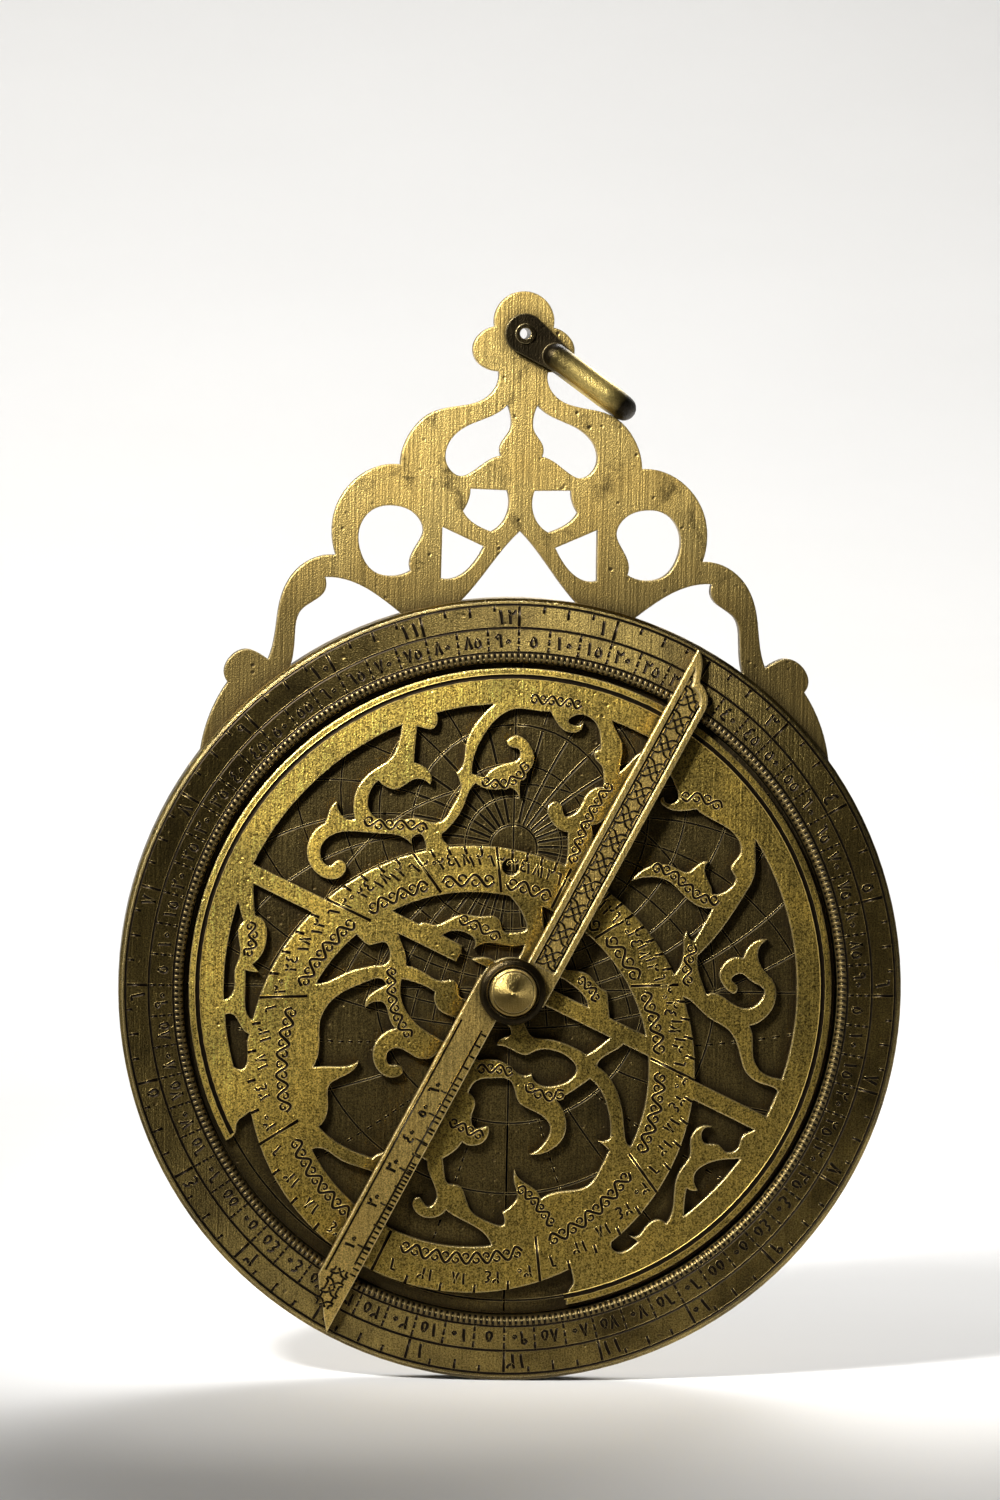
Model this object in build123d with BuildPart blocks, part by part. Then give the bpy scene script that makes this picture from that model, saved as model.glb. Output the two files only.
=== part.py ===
from build123d import *
from math import cos, radians, sin, tan
import os

# A planispheric astrolabe: the mater with its throne, three tympans in the well, the openwork rete
# and the rule in front, the alidade behind, one pin through them all, and the shackle on top.
#
# The origin is the middle of the hollow rivet that carries the shackle, halfway through the throne.
# Z points up, X to the right of someone who faces the front, and the front faces -Y.

# Sizes of the fits, in millimetres
running_clearance = 0.05   # round a pin or a tube that something turns on
sliding_gap = 0.05         # between flat faces that turn on each other
plate_clearance = 0.2      # from the tympans' edge to the limb
seat_clearance = 0.1       # round the throne's tongue and the locating stud
rete_clearance = 0.9       # from the rete's edge to the limb
rule_lift = 0.3            # from the limb's face to the rule

# Sizes of the mater
disc_radius = 60.0
limb_width = 9.8
back_plate_thickness = 1.5
limb_outer_chamfer = 0.5
limb_inner_chamfer = 0.6
rete_sink = 0.85           # the rete's face lies this far below the limb's face
rivet_radius = 1.2
rivet_cover = 0.8          # metal left in front of a blind rivet
throne_rivet_angles = (-44.0, -12.5, 12.5, 44.0)
limb_rivet_angles = (75.0, 117.0, 159.0, 201.0, 243.0, 285.0)
limb_rivet_inset = 4.5

# Sizes of the throne
throne_thickness = 3.0
throne_drawing_ratio = 1 / 60    # the throne's outline is drawn for a disc of radius 60
pivot_ratio = 100.3 / 60         # the hollow rivet's height over the disc's centre, in disc radii
tongue_depth = 5.0
tongue_half_angle = 55.5
tongue_end_gap = 0.5       # degrees, at each end of the tongue

# Sizes of the tympans and their stud
tympan_names = ("tympan_front", "tympan_middle", "tympan_rear")
tympan_thickness = 0.9
stud_radius = 0.8
stud_inset = 1.6           # from the tympan's edge to the stud's axis
stud_sink = 0.2            # the stud ends below the front tympan's face

# Sizes of the rete
rete_thickness = 1.4
rete_turn = 25.3           # clockwise, seen from the front
tropic_margin = 1.3
capricorn_width = 5.3
ecliptic_width = 7.05
obliquity = 23.44
rete_bar_width = 2.65
rete_bar_step = 0.15       # each bar's edge to the line through the pin
rete_bar_bite = 9.5        # the left inner bar ends this far from the pin
rete_hub_radius = 5.0
post_width = 2.4
post_offset = 3.0
star_hole_radius = 1.33
tracery_drawing_ratio = 1 / 48   # the tracery is drawn for a tropic of radius 48
ring_bite = 2.0            # an opening is drawn this far under the outer ring

# Sizes of the rule
rule_turn = 27.4           # clockwise, seen from the front
rule_width = 5.4
rule_reach = 59.4
rule_thickness = 1.4
rule_hub_radius = 4.8
rule_border = 0.95
rule_field_sink = 0.25
rule_field_start = 5.3

# Sizes of the alidade and its vanes
alidade_turn = -40.0
alidade_width = 7.0
alidade_reach = 57.5
alidade_point = 9.0
alidade_thickness = 1.6
alidade_hub_radius = 6.5
vane_inset = 17.5          # from the alidade's point to the vane
vane_width = 9.0
vane_height = 10.5
vane_thickness = 1.2
vane_shoulder = 2.5
tenon_width = 3.6
sight_hole_radius = 1.1
pinhole_radius = 0.45
sight_hole_height = 3.6
pinhole_height = 7.4

# Sizes of the pin and what holds it
pin_radius = 2.0
pin_head_radius = 4.4
pin_head_edge = 0.7
pin_head_dome = 1.2
washer_radius = 5.2
washer_thickness = 0.6
spacer_radius = 4.6
collar_radius = 5.1
collar_thickness = 1.75
collar_round = 0.8
collar_groove_radius = 3.95
collar_groove_depth = 0.4
nut_radius = 3.6
nut_rim_radius = 3.35
nut_rim_slope = 0.2
nut_rim_step = 0.15
nut_front_radius = 3.06
nut_thickness = 1.6
nut_cap = 0.7
nut_dome = 0.5

# Sizes of the shackle and its hollow rivet
shackle_turn = 35.4        # below the horizontal, to the right
shackle_reach = 19.1       # pivot to the middle of the bow's stock
stock_radius = 1.9
leg_offset = 4.0           # middle plane to the middle of a leg
ear_radius = 3.05
ear_thickness = 2.0
ear_length = 7.6
ear_gap = 0.1
tube_radius = 1.15
bore_radius = 0.83
flare_radius = 1.55
flare_thickness = 0.3

# Places worked out from the sizes
throne_scale = disc_radius * throne_drawing_ratio
disc_drop = disc_radius * pivot_ratio
limb_inner_radius = disc_radius - limb_width
tympan_radius = limb_inner_radius - plate_clearance
rete_radius = limb_inner_radius - rete_clearance
tongue_radius = disc_radius - tongue_depth

well_floor = throne_thickness / 2
back_face = well_floor + back_plate_thickness
tympan_face = well_floor - len(tympan_names) * tympan_thickness
rete_back = tympan_face - sliding_gap
rete_face = rete_back - rete_thickness
limb_face = rete_face - rete_sink
rivet_end = limb_face + rivet_cover
spacer_back = rete_face - sliding_gap
rule_back = limb_face - rule_lift
rule_face = rule_back - rule_thickness
collar_back = rule_face - sliding_gap
collar_face = collar_back - collar_thickness
nut_face = collar_face - nut_thickness
alidade_face = back_face + sliding_gap
alidade_back = alidade_face + alidade_thickness
washer_face = alidade_back + sliding_gap
washer_back = washer_face + washer_thickness
vane_distance = alidade_reach - vane_inset

# Circles of the sky, projected from the pole on to the plane of the equator
tropic_radius = rete_radius - tropic_margin
equator_radius = tropic_radius * tan(radians(45 - obliquity / 2))
cancer_radius = equator_radius * tan(radians(45 - obliquity / 2))
ecliptic_radius = (tropic_radius + cancer_radius) / 2
ecliptic_drop = (tropic_radius - cancer_radius) / 2
ecliptic_inner_radius = ecliptic_radius - ecliptic_width
ecliptic_middle_radius = ecliptic_radius - ecliptic_width / 2
capricorn_inner_radius = rete_radius - capricorn_width
tracery_scale = tropic_radius * tracery_drawing_ratio

disc_axis = Axis((0, 0, -disc_drop), (0, 1, 0))
pivot_axis = Axis((0, 0, 0), (0, 1, 0))
pin_hole_radius = pin_radius + running_clearance


def front(depth, turn=0.0):
    """The disc's plane at a depth, turned clockwise, from which an extrusion comes to the viewer."""
    turned_x = (cos(radians(turn)), 0, -sin(radians(turn)))
    return Plane(origin=(0, depth, -disc_drop), x_dir=turned_x, z_dir=(0, -1, 0))


def from_top(radius, angle):
    """A point of the disc at a radius and an angle clockwise from the top."""
    return (radius * sin(radians(angle)), radius * cos(radians(angle)))


def arc(radius, start, end, drop=0.0):
    """Three points of an arc, its angles counter-clockwise from the right and its centre dropped."""
    angles = (start, (start + end) / 2, end)
    return [(radius * cos(radians(a)), radius * sin(radians(a)) - drop) for a in angles]


def outline(*runs, side=1, scale=1.0, mode=Mode.ADD):
    """A closed outline: two points are a line, three an arc, more a smooth curve, with corners
    between the runs, and a line across where one run ends away from the next one's start."""
    placed = [[(side * scale * x, scale * y) for x, y in run] for run in runs]
    with BuildLine() as border:
        for run, following in zip(placed, placed[1:] + placed[:1]):
            if len(run) == 2:
                Line(*run)
            elif len(run) == 3:
                ThreePointArc(*run)
            else:
                Spline(*run)
            if run[-1] != following[0]:
                Line(run[-1], following[0])
    make_face(border.edges(), mode=mode)


def both_sides(*runs):
    """Cuts the same opening on the right and the left of the throne."""
    for side in (1, -1):
        outline(*runs, side=side, scale=throne_scale, mode=Mode.SUBTRACT)


def sector(inner, outer, half_angle, mode=Mode.ADD):
    """A piece of a ring that is centred on the top of the disc."""
    outer_arc = arc(outer, 90 - half_angle, 90 + half_angle)
    inner_arc = arc(inner, 90 + half_angle, 90 - half_angle)
    outline(outer_arc, inner_arc, mode=mode)


def finish(piece, name):
    """Names a finished piece and writes it."""
    piece.part.label = name
    export_step(piece.part, f"parts/{name}.step")


os.makedirs("parts", exist_ok=True)

throne_rivet_places = [from_top(disc_radius - tongue_depth / 2, a) for a in throne_rivet_angles]
limb_rivet_places = [from_top(disc_radius - limb_rivet_inset, a) for a in limb_rivet_angles]
stud_place = (0, tympan_radius - stud_inset)

# The back plate carries the limb, the throne's tongue and the locating stud.
with BuildPart() as back_plate:
    with BuildSketch(front(back_face)):
        Circle(disc_radius)
        Circle(pin_hole_radius, mode=Mode.SUBTRACT)
        with Locations(*throne_rivet_places, *limb_rivet_places):
            Circle(rivet_radius, mode=Mode.SUBTRACT)
        with Locations(stud_place):
            Circle(stud_radius, mode=Mode.SUBTRACT)
    extrude(amount=back_plate_thickness)
finish(back_plate, "back_plate")

# The limb is the raised ring round the well. Its back is cut away where the tongue goes in.
with BuildPart() as limb:
    with BuildSketch(front(well_floor)):
        Circle(disc_radius)
        Circle(limb_inner_radius, mode=Mode.SUBTRACT)
    extrude(amount=well_floor - limb_face)
    rims = limb.edges().filter_by(GeomType.CIRCLE).group_by(Axis.Y)[0].sort_by(SortBy.RADIUS)
    chamfer(rims[-1], length=limb_outer_chamfer)
    chamfer(rims[0], length=limb_inner_chamfer)
    with BuildSketch(front(well_floor)):
        sector(tongue_radius, disc_radius + tongue_depth, tongue_half_angle + tongue_end_gap)
    extrude(amount=throne_thickness, mode=Mode.SUBTRACT)
    with BuildSketch(front(well_floor)):
        with Locations(*throne_rivet_places, *limb_rivet_places):
            Circle(rivet_radius)
    extrude(amount=well_floor - rivet_end, mode=Mode.SUBTRACT)
finish(limb, "limb")

# The throne is one openwork plate, the same on both sides of its middle, with a tongue at its foot.
throne_edge = [
    [(0, 106.75), (3.6, 104.98), (4.5, 101.3)],
    [(4.5, 101.3), (6.0, 100.7), (7.7, 98.4), (7.3, 96.2), (5.5, 94.8), (3.75, 94.45)],
    [(3.75, 94.45), (4.0, 92.3), (5.7, 90.3), (9.5, 89.1), (14.0, 87.9), (17.0, 84.9), (18.5, 80.0)],
    [(18.5, 80.0), (21.6, 79.7), (25.4, 77.5), (28.2, 73.2), (28.7, 69.0), (28.1, 66.0)],
    [(28.1, 66.0), (31.0, 65.6), (34.3, 63.3), (36.4, 59.0), (37.1, 54.0), (38.1, 49.9)],
    [(38.1, 49.9), (39.5, 50.8), (41.4, 51.4), (43.8, 50.2), (44.8, 48.0), (44.2, 46.3)],
    [(44.2, 46.3), (45.6, 44.0), (47.1, 40.5), (48.2, 35.7)],
]
throne_other_edge = [[(-x, z) for x, z in reversed(run)] for run in reversed(throne_edge)]
with BuildPart() as throne:
    with BuildSketch(front(throne_thickness / 2)):
        outline(*throne_edge, *throne_other_edge, scale=throne_scale)
        # The drops below the neck
        both_sides(
            [(2.3, 89.4), (4.6, 87.7), (8.5, 86.0), (11.0, 83.7), (11.4, 80.2), (9.3, 78.4),
             (6.8, 79.5), (4.9, 80.9), (3.15, 81.6)],
            [(3.15, 81.6), (2.9, 83.9), (1.8, 85.6), (1.7, 87.5), (2.3, 89.4)],
        )
        # The shields in the middle
        both_sides(
            [(2.1, 76.35), (7.7, 76.5)],
            [(7.7, 76.5), (7.95, 74.8), (8.8, 73.1)],
            [(8.8, 73.1), (7.3, 71.4), (5.9, 70.6), (4.4, 70.0)],
            [(4.4, 70.0), (2.4, 71.9), (1.75, 74.3), (2.1, 76.35)],
        )
        # The round openings of the shoulders
        both_sides(
            [(16.6, 63.8), (19.5, 62.95), (22.2, 63.6), (24.3, 66.6), (24.5, 70.3), (22.6, 73.0),
             (19.3, 73.7), (15.9, 72.3), (14.8, 70.0), (15.8, 67.6), (16.6, 63.8)],
        )
        # The small three-cornered openings
        both_sides(
            [(11.9, 70.6), (11.95, 62.75)],
            [(11.95, 62.75), (9.7, 62.9), (7.0, 65.1), (5.45, 67.7)],
            [(5.45, 67.7), (11.9, 70.6)],
        )
        # The gaps between the feet and the limb
        both_sides(
            [(35.2, 47.8), (34.1, 53.2), (33.2, 57.5), (29.9, 60.1), (29.6, 62.6)],
            [(29.6, 62.6), (26.2, 62.2), (21.5, 59.9), (17.0, 56.5)],
        )
        # The pointed gap in the middle
        both_sides(
            [(0.0, 70.2), (3.0, 66.8), (5.8, 63.0), (9.3, 58.9)],
            [(9.3, 58.9), (0.0, 58.9)],
        )
        sector(tongue_radius, disc_radius, tongue_half_angle)
        Circle(tongue_radius + seat_clearance, mode=Mode.SUBTRACT)
        with Locations(*throne_rivet_places):
            Circle(rivet_radius, mode=Mode.SUBTRACT)
        with Locations((0, disc_drop)):
            Circle(tube_radius + running_clearance, mode=Mode.SUBTRACT)
    extrude(amount=throne_thickness)
finish(throne, "throne")

# Rivets, filed flush behind, hold the throne and the limb to the back plate.
with BuildPart() as throne_rivets:
    with BuildSketch(front(back_face)):
        with Locations(*throne_rivet_places):
            Circle(rivet_radius - running_clearance)
    extrude(amount=back_face - rivet_end)
finish(throne_rivets, "throne_rivets")

with BuildPart() as limb_rivets:
    with BuildSketch(front(back_face)):
        with Locations(*limb_rivet_places):
            Circle(rivet_radius - running_clearance)
    extrude(amount=back_face - rivet_end)
finish(limb_rivets, "limb_rivets")

# A stud in the back plate enters a notch in each tympan and keeps it from turning.
with BuildPart() as tympan_stud:
    with BuildSketch(front(back_face)):
        with Locations(stud_place):
            Circle(stud_radius - running_clearance)
    extrude(amount=back_face - tympan_face - stud_sink)
finish(tympan_stud, "tympan_stud")

for number, name in enumerate(tympan_names):
    with BuildPart() as tympan:
        with BuildSketch(front(tympan_face + (number + 1) * tympan_thickness)):
            Circle(tympan_radius)
            Circle(pin_hole_radius, mode=Mode.SUBTRACT)
            with Locations(stud_place):
                Circle(stud_radius + seat_clearance, mode=Mode.SUBTRACT)
                Rectangle(2 * (stud_radius + seat_clearance), 2 * stud_inset,
                          align=(Align.CENTER, Align.MIN), mode=Mode.SUBTRACT)
        extrude(amount=tympan_thickness)
    finish(tympan, name)


def rim(start, end):
    """An arc in the metal of the outer ring, where an opening runs along it."""
    return arc((tropic_radius - ring_bite) / tracery_scale, start, end)


def zodiac(start, end):
    """An arc in the metal of the ecliptic ring, where an opening runs along it."""
    return arc(ecliptic_middle_radius / tracery_scale, start, end, ecliptic_drop / tracery_scale)


def pierce(*runs):
    """Cuts one opening of the tracery, drawn a little into the rings and bars beside it."""
    outline(*runs, scale=tracery_scale, mode=Mode.SUBTRACT)


def rete_bar(near, far, height):
    """Puts back a bar of the rete from one distance to another, above or below the middle line."""
    with Locations(((near + far) / 2, height)):
        Rectangle(abs(far - near), rete_bar_width)


with BuildSketch() as outer_ring:
    Circle(rete_radius)
    Circle(capricorn_inner_radius, mode=Mode.SUBTRACT)

with BuildSketch() as ecliptic_ring:
    with Locations((0, -ecliptic_drop)):
        Circle(ecliptic_radius)
        Circle(ecliptic_inner_radius, mode=Mode.SUBTRACT)

bar_meeting = (ecliptic_middle_radius ** 2 - ecliptic_drop ** 2) ** 0.5
bar_end = rete_radius - capricorn_width / 2
star_place = (-8.5 * tracery_scale, 16.85 * tracery_scale)

# The rete is a star map cut out of one plate. Its scrolls are pierced first, each opening drawn into
# the metal beside it, and then the rings and bars are laid over them with their true edges.
with BuildPart() as rete:
    with BuildSketch(front(rete_back, rete_turn)):
        Circle(rete_radius)
        # Upper left, along the outer ring
        pierce(
            [(-24.9, 9.6), (-22.6, 11.2), (-21.0, 12.3), (-21.6, 14.1), (-23.2, 15.2), (-23.9, 14.4),
             (-22.9, 13.05)],
            [(-22.9, 13.05), (-24.3, 13.5), (-26.0, 13.6), (-28.0, 12.9), (-32.0, 11.3),
             (-34.8, 9.6), (-35.9, 7.0), (-34.9, 5.1), (-33.4, 4.7), (-32.6, 6.1), (-31.5, 6.15),
             (-30.9, 5.0), (-31.8, 3.3), (-34.0, 2.8), (-36.8, 4.2), (-37.95, 7.5), (-36.9, 10.3)],
            [(-36.9, 10.3), (-37.1, 11.8), (-37.15, 13.2), (-36.8, 14.1)],
            [(-36.8, 14.1), (-36.0, 13.0), (-34.3, 12.3), (-33.1, 12.9)],
            [(-33.1, 12.9), (-34.2, 14.6), (-34.85, 17.4), (-33.9, 20.8), (-32.3, 23.7),
             (-32.2, 25.5), (-32.6, 27.5), (-33.3, 30.0)],
            rim(138, 182),
            zodiac(157, 138),
        )
        # Upper left, inside the hooked stem
        pierce(
            [(-21.8, 38.1), (-24.0, 36.8), (-27.0, 34.9), (-29.5, 33.0)],
            [(-29.5, 33.0), (-28.5, 32.0), (-28.6, 30.5), (-29.9, 30.0), (-30.9, 29.8)],
            [(-30.9, 29.8), (-30.2, 27.8), (-29.4, 25.8), (-28.9, 24.6)],
            [(-28.9, 24.6), (-27.5, 24.75), (-26.0, 24.3), (-25.15, 22.7)],
            [(-25.15, 22.7), (-26.0, 22.9), (-27.5, 22.5), (-28.4, 21.3), (-29.6, 19.7),
             (-31.2, 19.4), (-32.5, 19.8)],
            [(-32.5, 19.8), (-32.9, 17.4), (-31.8, 15.1), (-30.0, 14.4), (-27.5, 15.2),
             (-24.5, 17.2), (-22.3, 17.6), (-20.9, 18.7), (-20.6, 21.0), (-20.7, 24.3),
             (-21.6, 25.5), (-22.35, 26.1)],
            [(-22.35, 26.1), (-22.0, 27.7), (-22.9, 30.5), (-23.1, 33.5), (-22.6, 36.0),
             (-21.8, 38.1)],
        )
        # Top, left of the upright arm
        pierce(
            [(-18.0, 15.0), (-18.9, 15.7), (-19.6, 16.0), (-20.2, 16.7)],
            [(-20.2, 16.7), (-19.4, 19.0), (-19.1, 21.5), (-19.3, 25.0), (-19.0, 26.0)],
            [(-19.0, 26.0), (-17.3, 25.9), (-14.8, 27.1), (-13.7, 27.75), (-12.7, 27.5),
             (-11.9, 26.9)],
            [(-11.9, 26.9), (-12.6, 28.2), (-13.0, 29.4), (-12.5, 31.5), (-12.6, 33.1),
             (-14.3, 34.9), (-16.0, 35.4), (-17.6, 33.9)],
            [(-17.6, 33.9), (-16.6, 33.35), (-15.3, 33.5), (-14.75, 32.3), (-15.9, 30.9),
             (-17.3, 29.5), (-18.1, 27.3)],
            [(-18.1, 27.3), (-20.2, 27.0)],
            [(-20.2, 27.0), (-21.0, 29.2), (-21.2, 33.0), (-20.3, 36.7), (-18.8, 38.7),
             (-16.0, 39.9), (-13.6, 40.9)],
            [(-13.6, 40.9), (-12.0, 39.8), (-10.0, 39.2), (-8.4, 40.1), (-8.4, 41.7)],
            [(-8.4, 41.7), (-9.2, 40.6), (-10.5, 40.7), (-10.2, 41.7), (-8.5, 42.7), (-6.5, 42.3),
             (-4.9, 40.6), (-4.1, 39.0)],
            [(-4.1, 39.0), (-4.7, 38.2), (-4.3, 37.5), (-2.9, 36.9), (-1.8, 35.5), (-1.0, 34.1)],
            [(-1.0, 34.1), (-2.3, 33.3), (-3.0, 31.3), (-3.2, 28.7), (-4.5, 27.5), (-5.6, 28.6),
             (-6.7, 28.9), (-7.45, 27.8), (-6.3, 26.1), (-4.0, 25.3), (-2.9, 25.5)],
            [(-2.9, 25.5), (-2.3, 24.2), (-1.5, 22.5), (-1.1, 20.0)],
            zodiac(92, 122),
        )
        # Top, the notch over the upright arm
        pierce(
            [(0.0, 37.1), (-0.6, 39.0), (-1.5, 41.2), (-3.6, 42.9), (-5.2, 44.8)],
            rim(97, 83),
            [(5.9, 44.8), (3.9, 43.0), (1.7, 41.5), (0.7, 39.0), (0.0, 37.1)],
        )
        # Top, right of the upright arm
        pierce(
            [(1.2, 20.0), (0.9, 23.0), (1.0, 25.0), (-0.3, 28.0)],
            [(-0.3, 28.0), (1.0, 29.4), (1.2, 32.5), (2.2, 36.2), (3.2, 37.6), (2.7, 38.7)],
            [(2.7, 38.7), (4.2, 40.9), (5.3, 41.3), (7.3, 40.3), (9.3, 38.6), (9.95, 37.5),
             (9.2, 36.3), (7.8, 36.8)],
            [(7.8, 36.8), (7.7, 36.0), (8.5, 35.6), (10.5, 35.8), (13.2, 37.4)],
            [(13.2, 37.4), (17.5, 37.0), (20.2, 36.5), (22.3, 34.0), (22.1, 31.5), (23.3, 30.6),
             (23.3, 28.9), (21.1, 26.8)],
            [(21.1, 26.8), (19.5, 28.5), (18.4, 29.7), (18.4, 31.0)],
            [(18.4, 31.0), (17.1, 29.6), (16.3, 28.1), (14.5, 27.9), (11.5, 27.1), (9.9, 25.3),
             (9.1, 23.1)],
            [(9.1, 23.1), (11.8, 25.1), (14.3, 25.6), (17.0, 24.8), (20.0, 24.2), (22.2, 24.9)],
            [(22.2, 24.9), (22.15, 22.5), (22.0, 20.5), (21.9, 19.1)],
            [(21.9, 19.1), (21.0, 19.2), (20.3, 20.0)],
            [(20.3, 20.0), (20.2, 19.2), (21.1, 17.1), (21.7, 14.5), (21.3, 12.8)],
            zodiac(51, 88),
        )
        # Upper right, round the large scroll
        pierce(
            rim(57, 8),
            [(44.4, 6.3), (42.8, 5.8), (40.5, 5.6), (38.2, 7.0), (36.7, 9.7), (35.4, 11.2)],
            [(35.4, 11.2), (37.1, 13.6), (37.3, 16.2), (35.8, 18.8), (33.2, 20.0), (31.8, 21.3),
             (31.9, 24.3)],
            [(31.9, 24.3), (30.4, 23.2), (29.8, 21.5), (29.95, 20.1)],
            [(29.95, 20.1), (28.0, 18.9), (27.6, 16.6), (29.2, 14.9), (31.2, 14.8), (31.0, 15.8),
             (29.75, 16.3), (30.4, 17.7), (32.5, 17.5), (35.0, 17.1), (35.2, 15.3), (33.9, 13.4),
             (31.5, 13.1), (28.7, 13.4), (27.3, 12.6)],
            [(27.3, 12.6), (25.9, 13.9), (24.3, 15.6), (23.4, 17.3)],
            [(23.4, 17.3), (24.7, 21.7), (25.7, 29.0), (25.7, 32.3), (24.3, 35.4), (23.3, 37.6)],
        )
        # Right, over and under the bar
        pierce(
            [(23.6, 10.6), (25.3, 10.7), (29.0, 9.6), (32.8, 9.2), (35.5, 7.3), (37.8, 4.8),
             (40.5, 4.0), (43.3, 4.3), (44.5, 3.6)],
            rim(4, -1.6),
            zodiac(23.5, 45.8),
        )
        pierce(
            [(44.6, -1.6), (42.6, -3.6), (42.0, -4.8), (42.25, -6.3), (40.8, -7.8), (39.3, -7.3),
             (37.3, -8.0), (36.2, -6.9), (37.2, -5.25)],
            [(37.2, -5.25), (35.5, -6.1), (35.0, -8.1), (36.1, -10.7), (35.75, -13.5),
             (36.8, -17.6), (37.6, -20.3), (37.5, -21.7)],
            [(37.5, -21.7), (35.9, -21.8), (34.9, -23.6), (34.5, -25.3), (33.3, -25.9)],
            [(33.3, -25.9), (34.9, -26.1)],
            [(34.9, -26.1), (34.3, -27.4), (32.9, -28.9), (31.6, -28.7), (31.2, -28.0),
             (30.7, -26.8)],
            zodiac(-23, 23),
        )
        # Right and left, the slivers along the outer ring
        pierce(
            rim(-10, -26.4),
            [(40.0, -20.4), (39.1, -18.8), (38.3, -16.8), (37.9, -15.4)],
            [(37.9, -15.4), (38.8, -15.4), (39.6, -15.0)],
            [(39.6, -15.0), (38.1, -12.4), (39.2, -10.5), (42.0, -8.4), (44.2, -7.3)],
        )
        pierce(
            [(-44.8, -5.8), (-43.3, -6.5), (-42.2, -7.8), (-41.3, -8.6)],
            [(-41.3, -8.6), (-41.6, -9.9), (-39.7, -13.2), (-39.25, -16.0), (-38.1, -18.6),
             (-38.2, -20.1), (-40.2, -20.8)],
            rim(207, 187.5),
        )
        # Left, under the bar
        pierce(
            zodiac(157, 193),
            [(-32.6, -21.4), (-34.0, -21.5), (-36.1, -18.9), (-37.3, -16.3), (-37.9, -15.2)],
            [(-37.9, -15.2), (-36.9, -15.0), (-35.9, -14.6)],
            [(-35.9, -14.6), (-37.3, -14.0)],
            [(-37.3, -14.0), (-36.7, -12.0), (-37.1, -9.4), (-38.6, -7.3), (-40.2, -7.1)],
            [(-40.2, -7.1), (-41.6, -4.8), (-43.2, -1.6)],
        )
        # Lower left, a small oblong
        pierce(
            [(-37.6, -22.7), (-36.5, -22.15), (-34.9, -23.0), (-32.9, -23.7)],
            [(-32.9, -23.7), (-32.5, -25.3), (-31.3, -27.8), (-31.5, -29.0), (-33.1, -29.2),
             (-34.8, -27.2), (-36.9, -23.9), (-37.6, -22.7)],
        )
        # Inside the ecliptic, upper left
        pierce(
            zodiac(150.7, 106),
            [(-8.3, 13.4), (-5.0, 12.1), (-3.0, 10.7), (-2.05, 9.3), (-3.2, 8.2), (-5.2, 7.6),
             (-6.4, 8.8), (-7.6, 8.9), (-9.0, 8.1), (-12.0, 6.9), (-13.5, 5.2), (-15.0, 3.7),
             (-16.4, 3.4), (-17.2, 1.5)],
        )
        # Inside the ecliptic, top and upper right
        pierce(
            [(1.0, 9.4), (-2.0, 14.6)],
            [(-2.0, 14.6), (4.0, 14.6)],
            [(4.0, 14.6), (1.0, 9.4)],
        )
        pierce(
            [(6.4, 6.4), (4.6, 7.3), (3.0, 9.3), (3.9, 11.3), (6.6, 14.0)],
            zodiac(76.6, 29.5),
            [(16.3, 1.6), (15.0, 3.6), (14.1, 5.1), (13.3, 6.3)],
            [(13.3, 6.3), (11.5, 6.5), (9.7, 7.3), (8.0, 7.1), (6.4, 6.4)],
        )
        pierce([(3.2, 3.2), (5.5, 5.0), (7.0, 4.95), (10.0, 4.3), (11.2, 3.6), (12.2, 1.6)])
        # Under the left half of the bar
        pierce(
            [(-3.5, 1.5), (-3.5, -3.2)],
            [(-3.5, -3.2), (-5.5, -4.4), (-6.5, -4.4), (-7.9, -2.8), (-8.5, -2.6), (-10.0, -3.4),
             (-13.0, -3.55), (-16.1, -3.8)],
            [(-16.1, -3.8), (-17.6, -1.6), (-18.6, -0.7), (-20.3, 1.5)],
        )
        # The two bowls below the hub
        pierce(
            [(-15.8, -5.9), (-13.5, -5.4), (-10.3, -5.4)],
            [(-10.3, -5.4), (-9.9, -6.5), (-8.8, -7.5), (-6.5, -7.7), (-3.0, -7.85)],
            [(-3.0, -11.9), (-7.0, -11.6), (-11.0, -11.0), (-13.8, -9.4), (-15.8, -5.9)],
        )
        pierce(
            [(0.5, -4.6), (2.3, -5.2)],
            [(2.3, -5.2), (3.0, -6.3), (2.1, -7.3), (1.9, -8.6)],
            [(1.9, -8.6), (4.5, -8.2), (6.6, -7.9), (7.6, -6.7), (9.5, -5.6), (12.5, -5.4),
             (14.5, -6.5), (14.4, -8.3), (13.0, -10.0), (11.0, -11.1), (9.2, -10.8), (8.6, -10.1)],
            [(8.6, -10.1), (7.5, -11.0), (4.5, -10.55), (1.6, -11.1), (0.4, -11.9)],
            [(-3.0, -12.2), (-3.0, -4.0)],
        )
        # Under the right half of the bar
        pierce(
            [(3.5, 1.6), (17.8, 1.6)],
            [(17.8, 1.6), (16.5, -0.9), (15.6, -2.8), (14.9, -3.85)],
            [(14.9, -3.85), (11.5, -3.75), (8.2, -4.4), (6.0, -5.0), (4.7, -4.2), (3.4, -3.2)],
        )
        pierce(
            [(17.0, -4.65), (17.7, -2.4), (18.7, -1.0), (19.2, 1.6)],
            zodiac(29.5, 1.0),
            [(28.0, -13.2), (26.8, -13.4), (25.4, -11.9), (23.2, -8.5), (20.3, -5.8), (17.0, -4.65)],
        )
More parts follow.
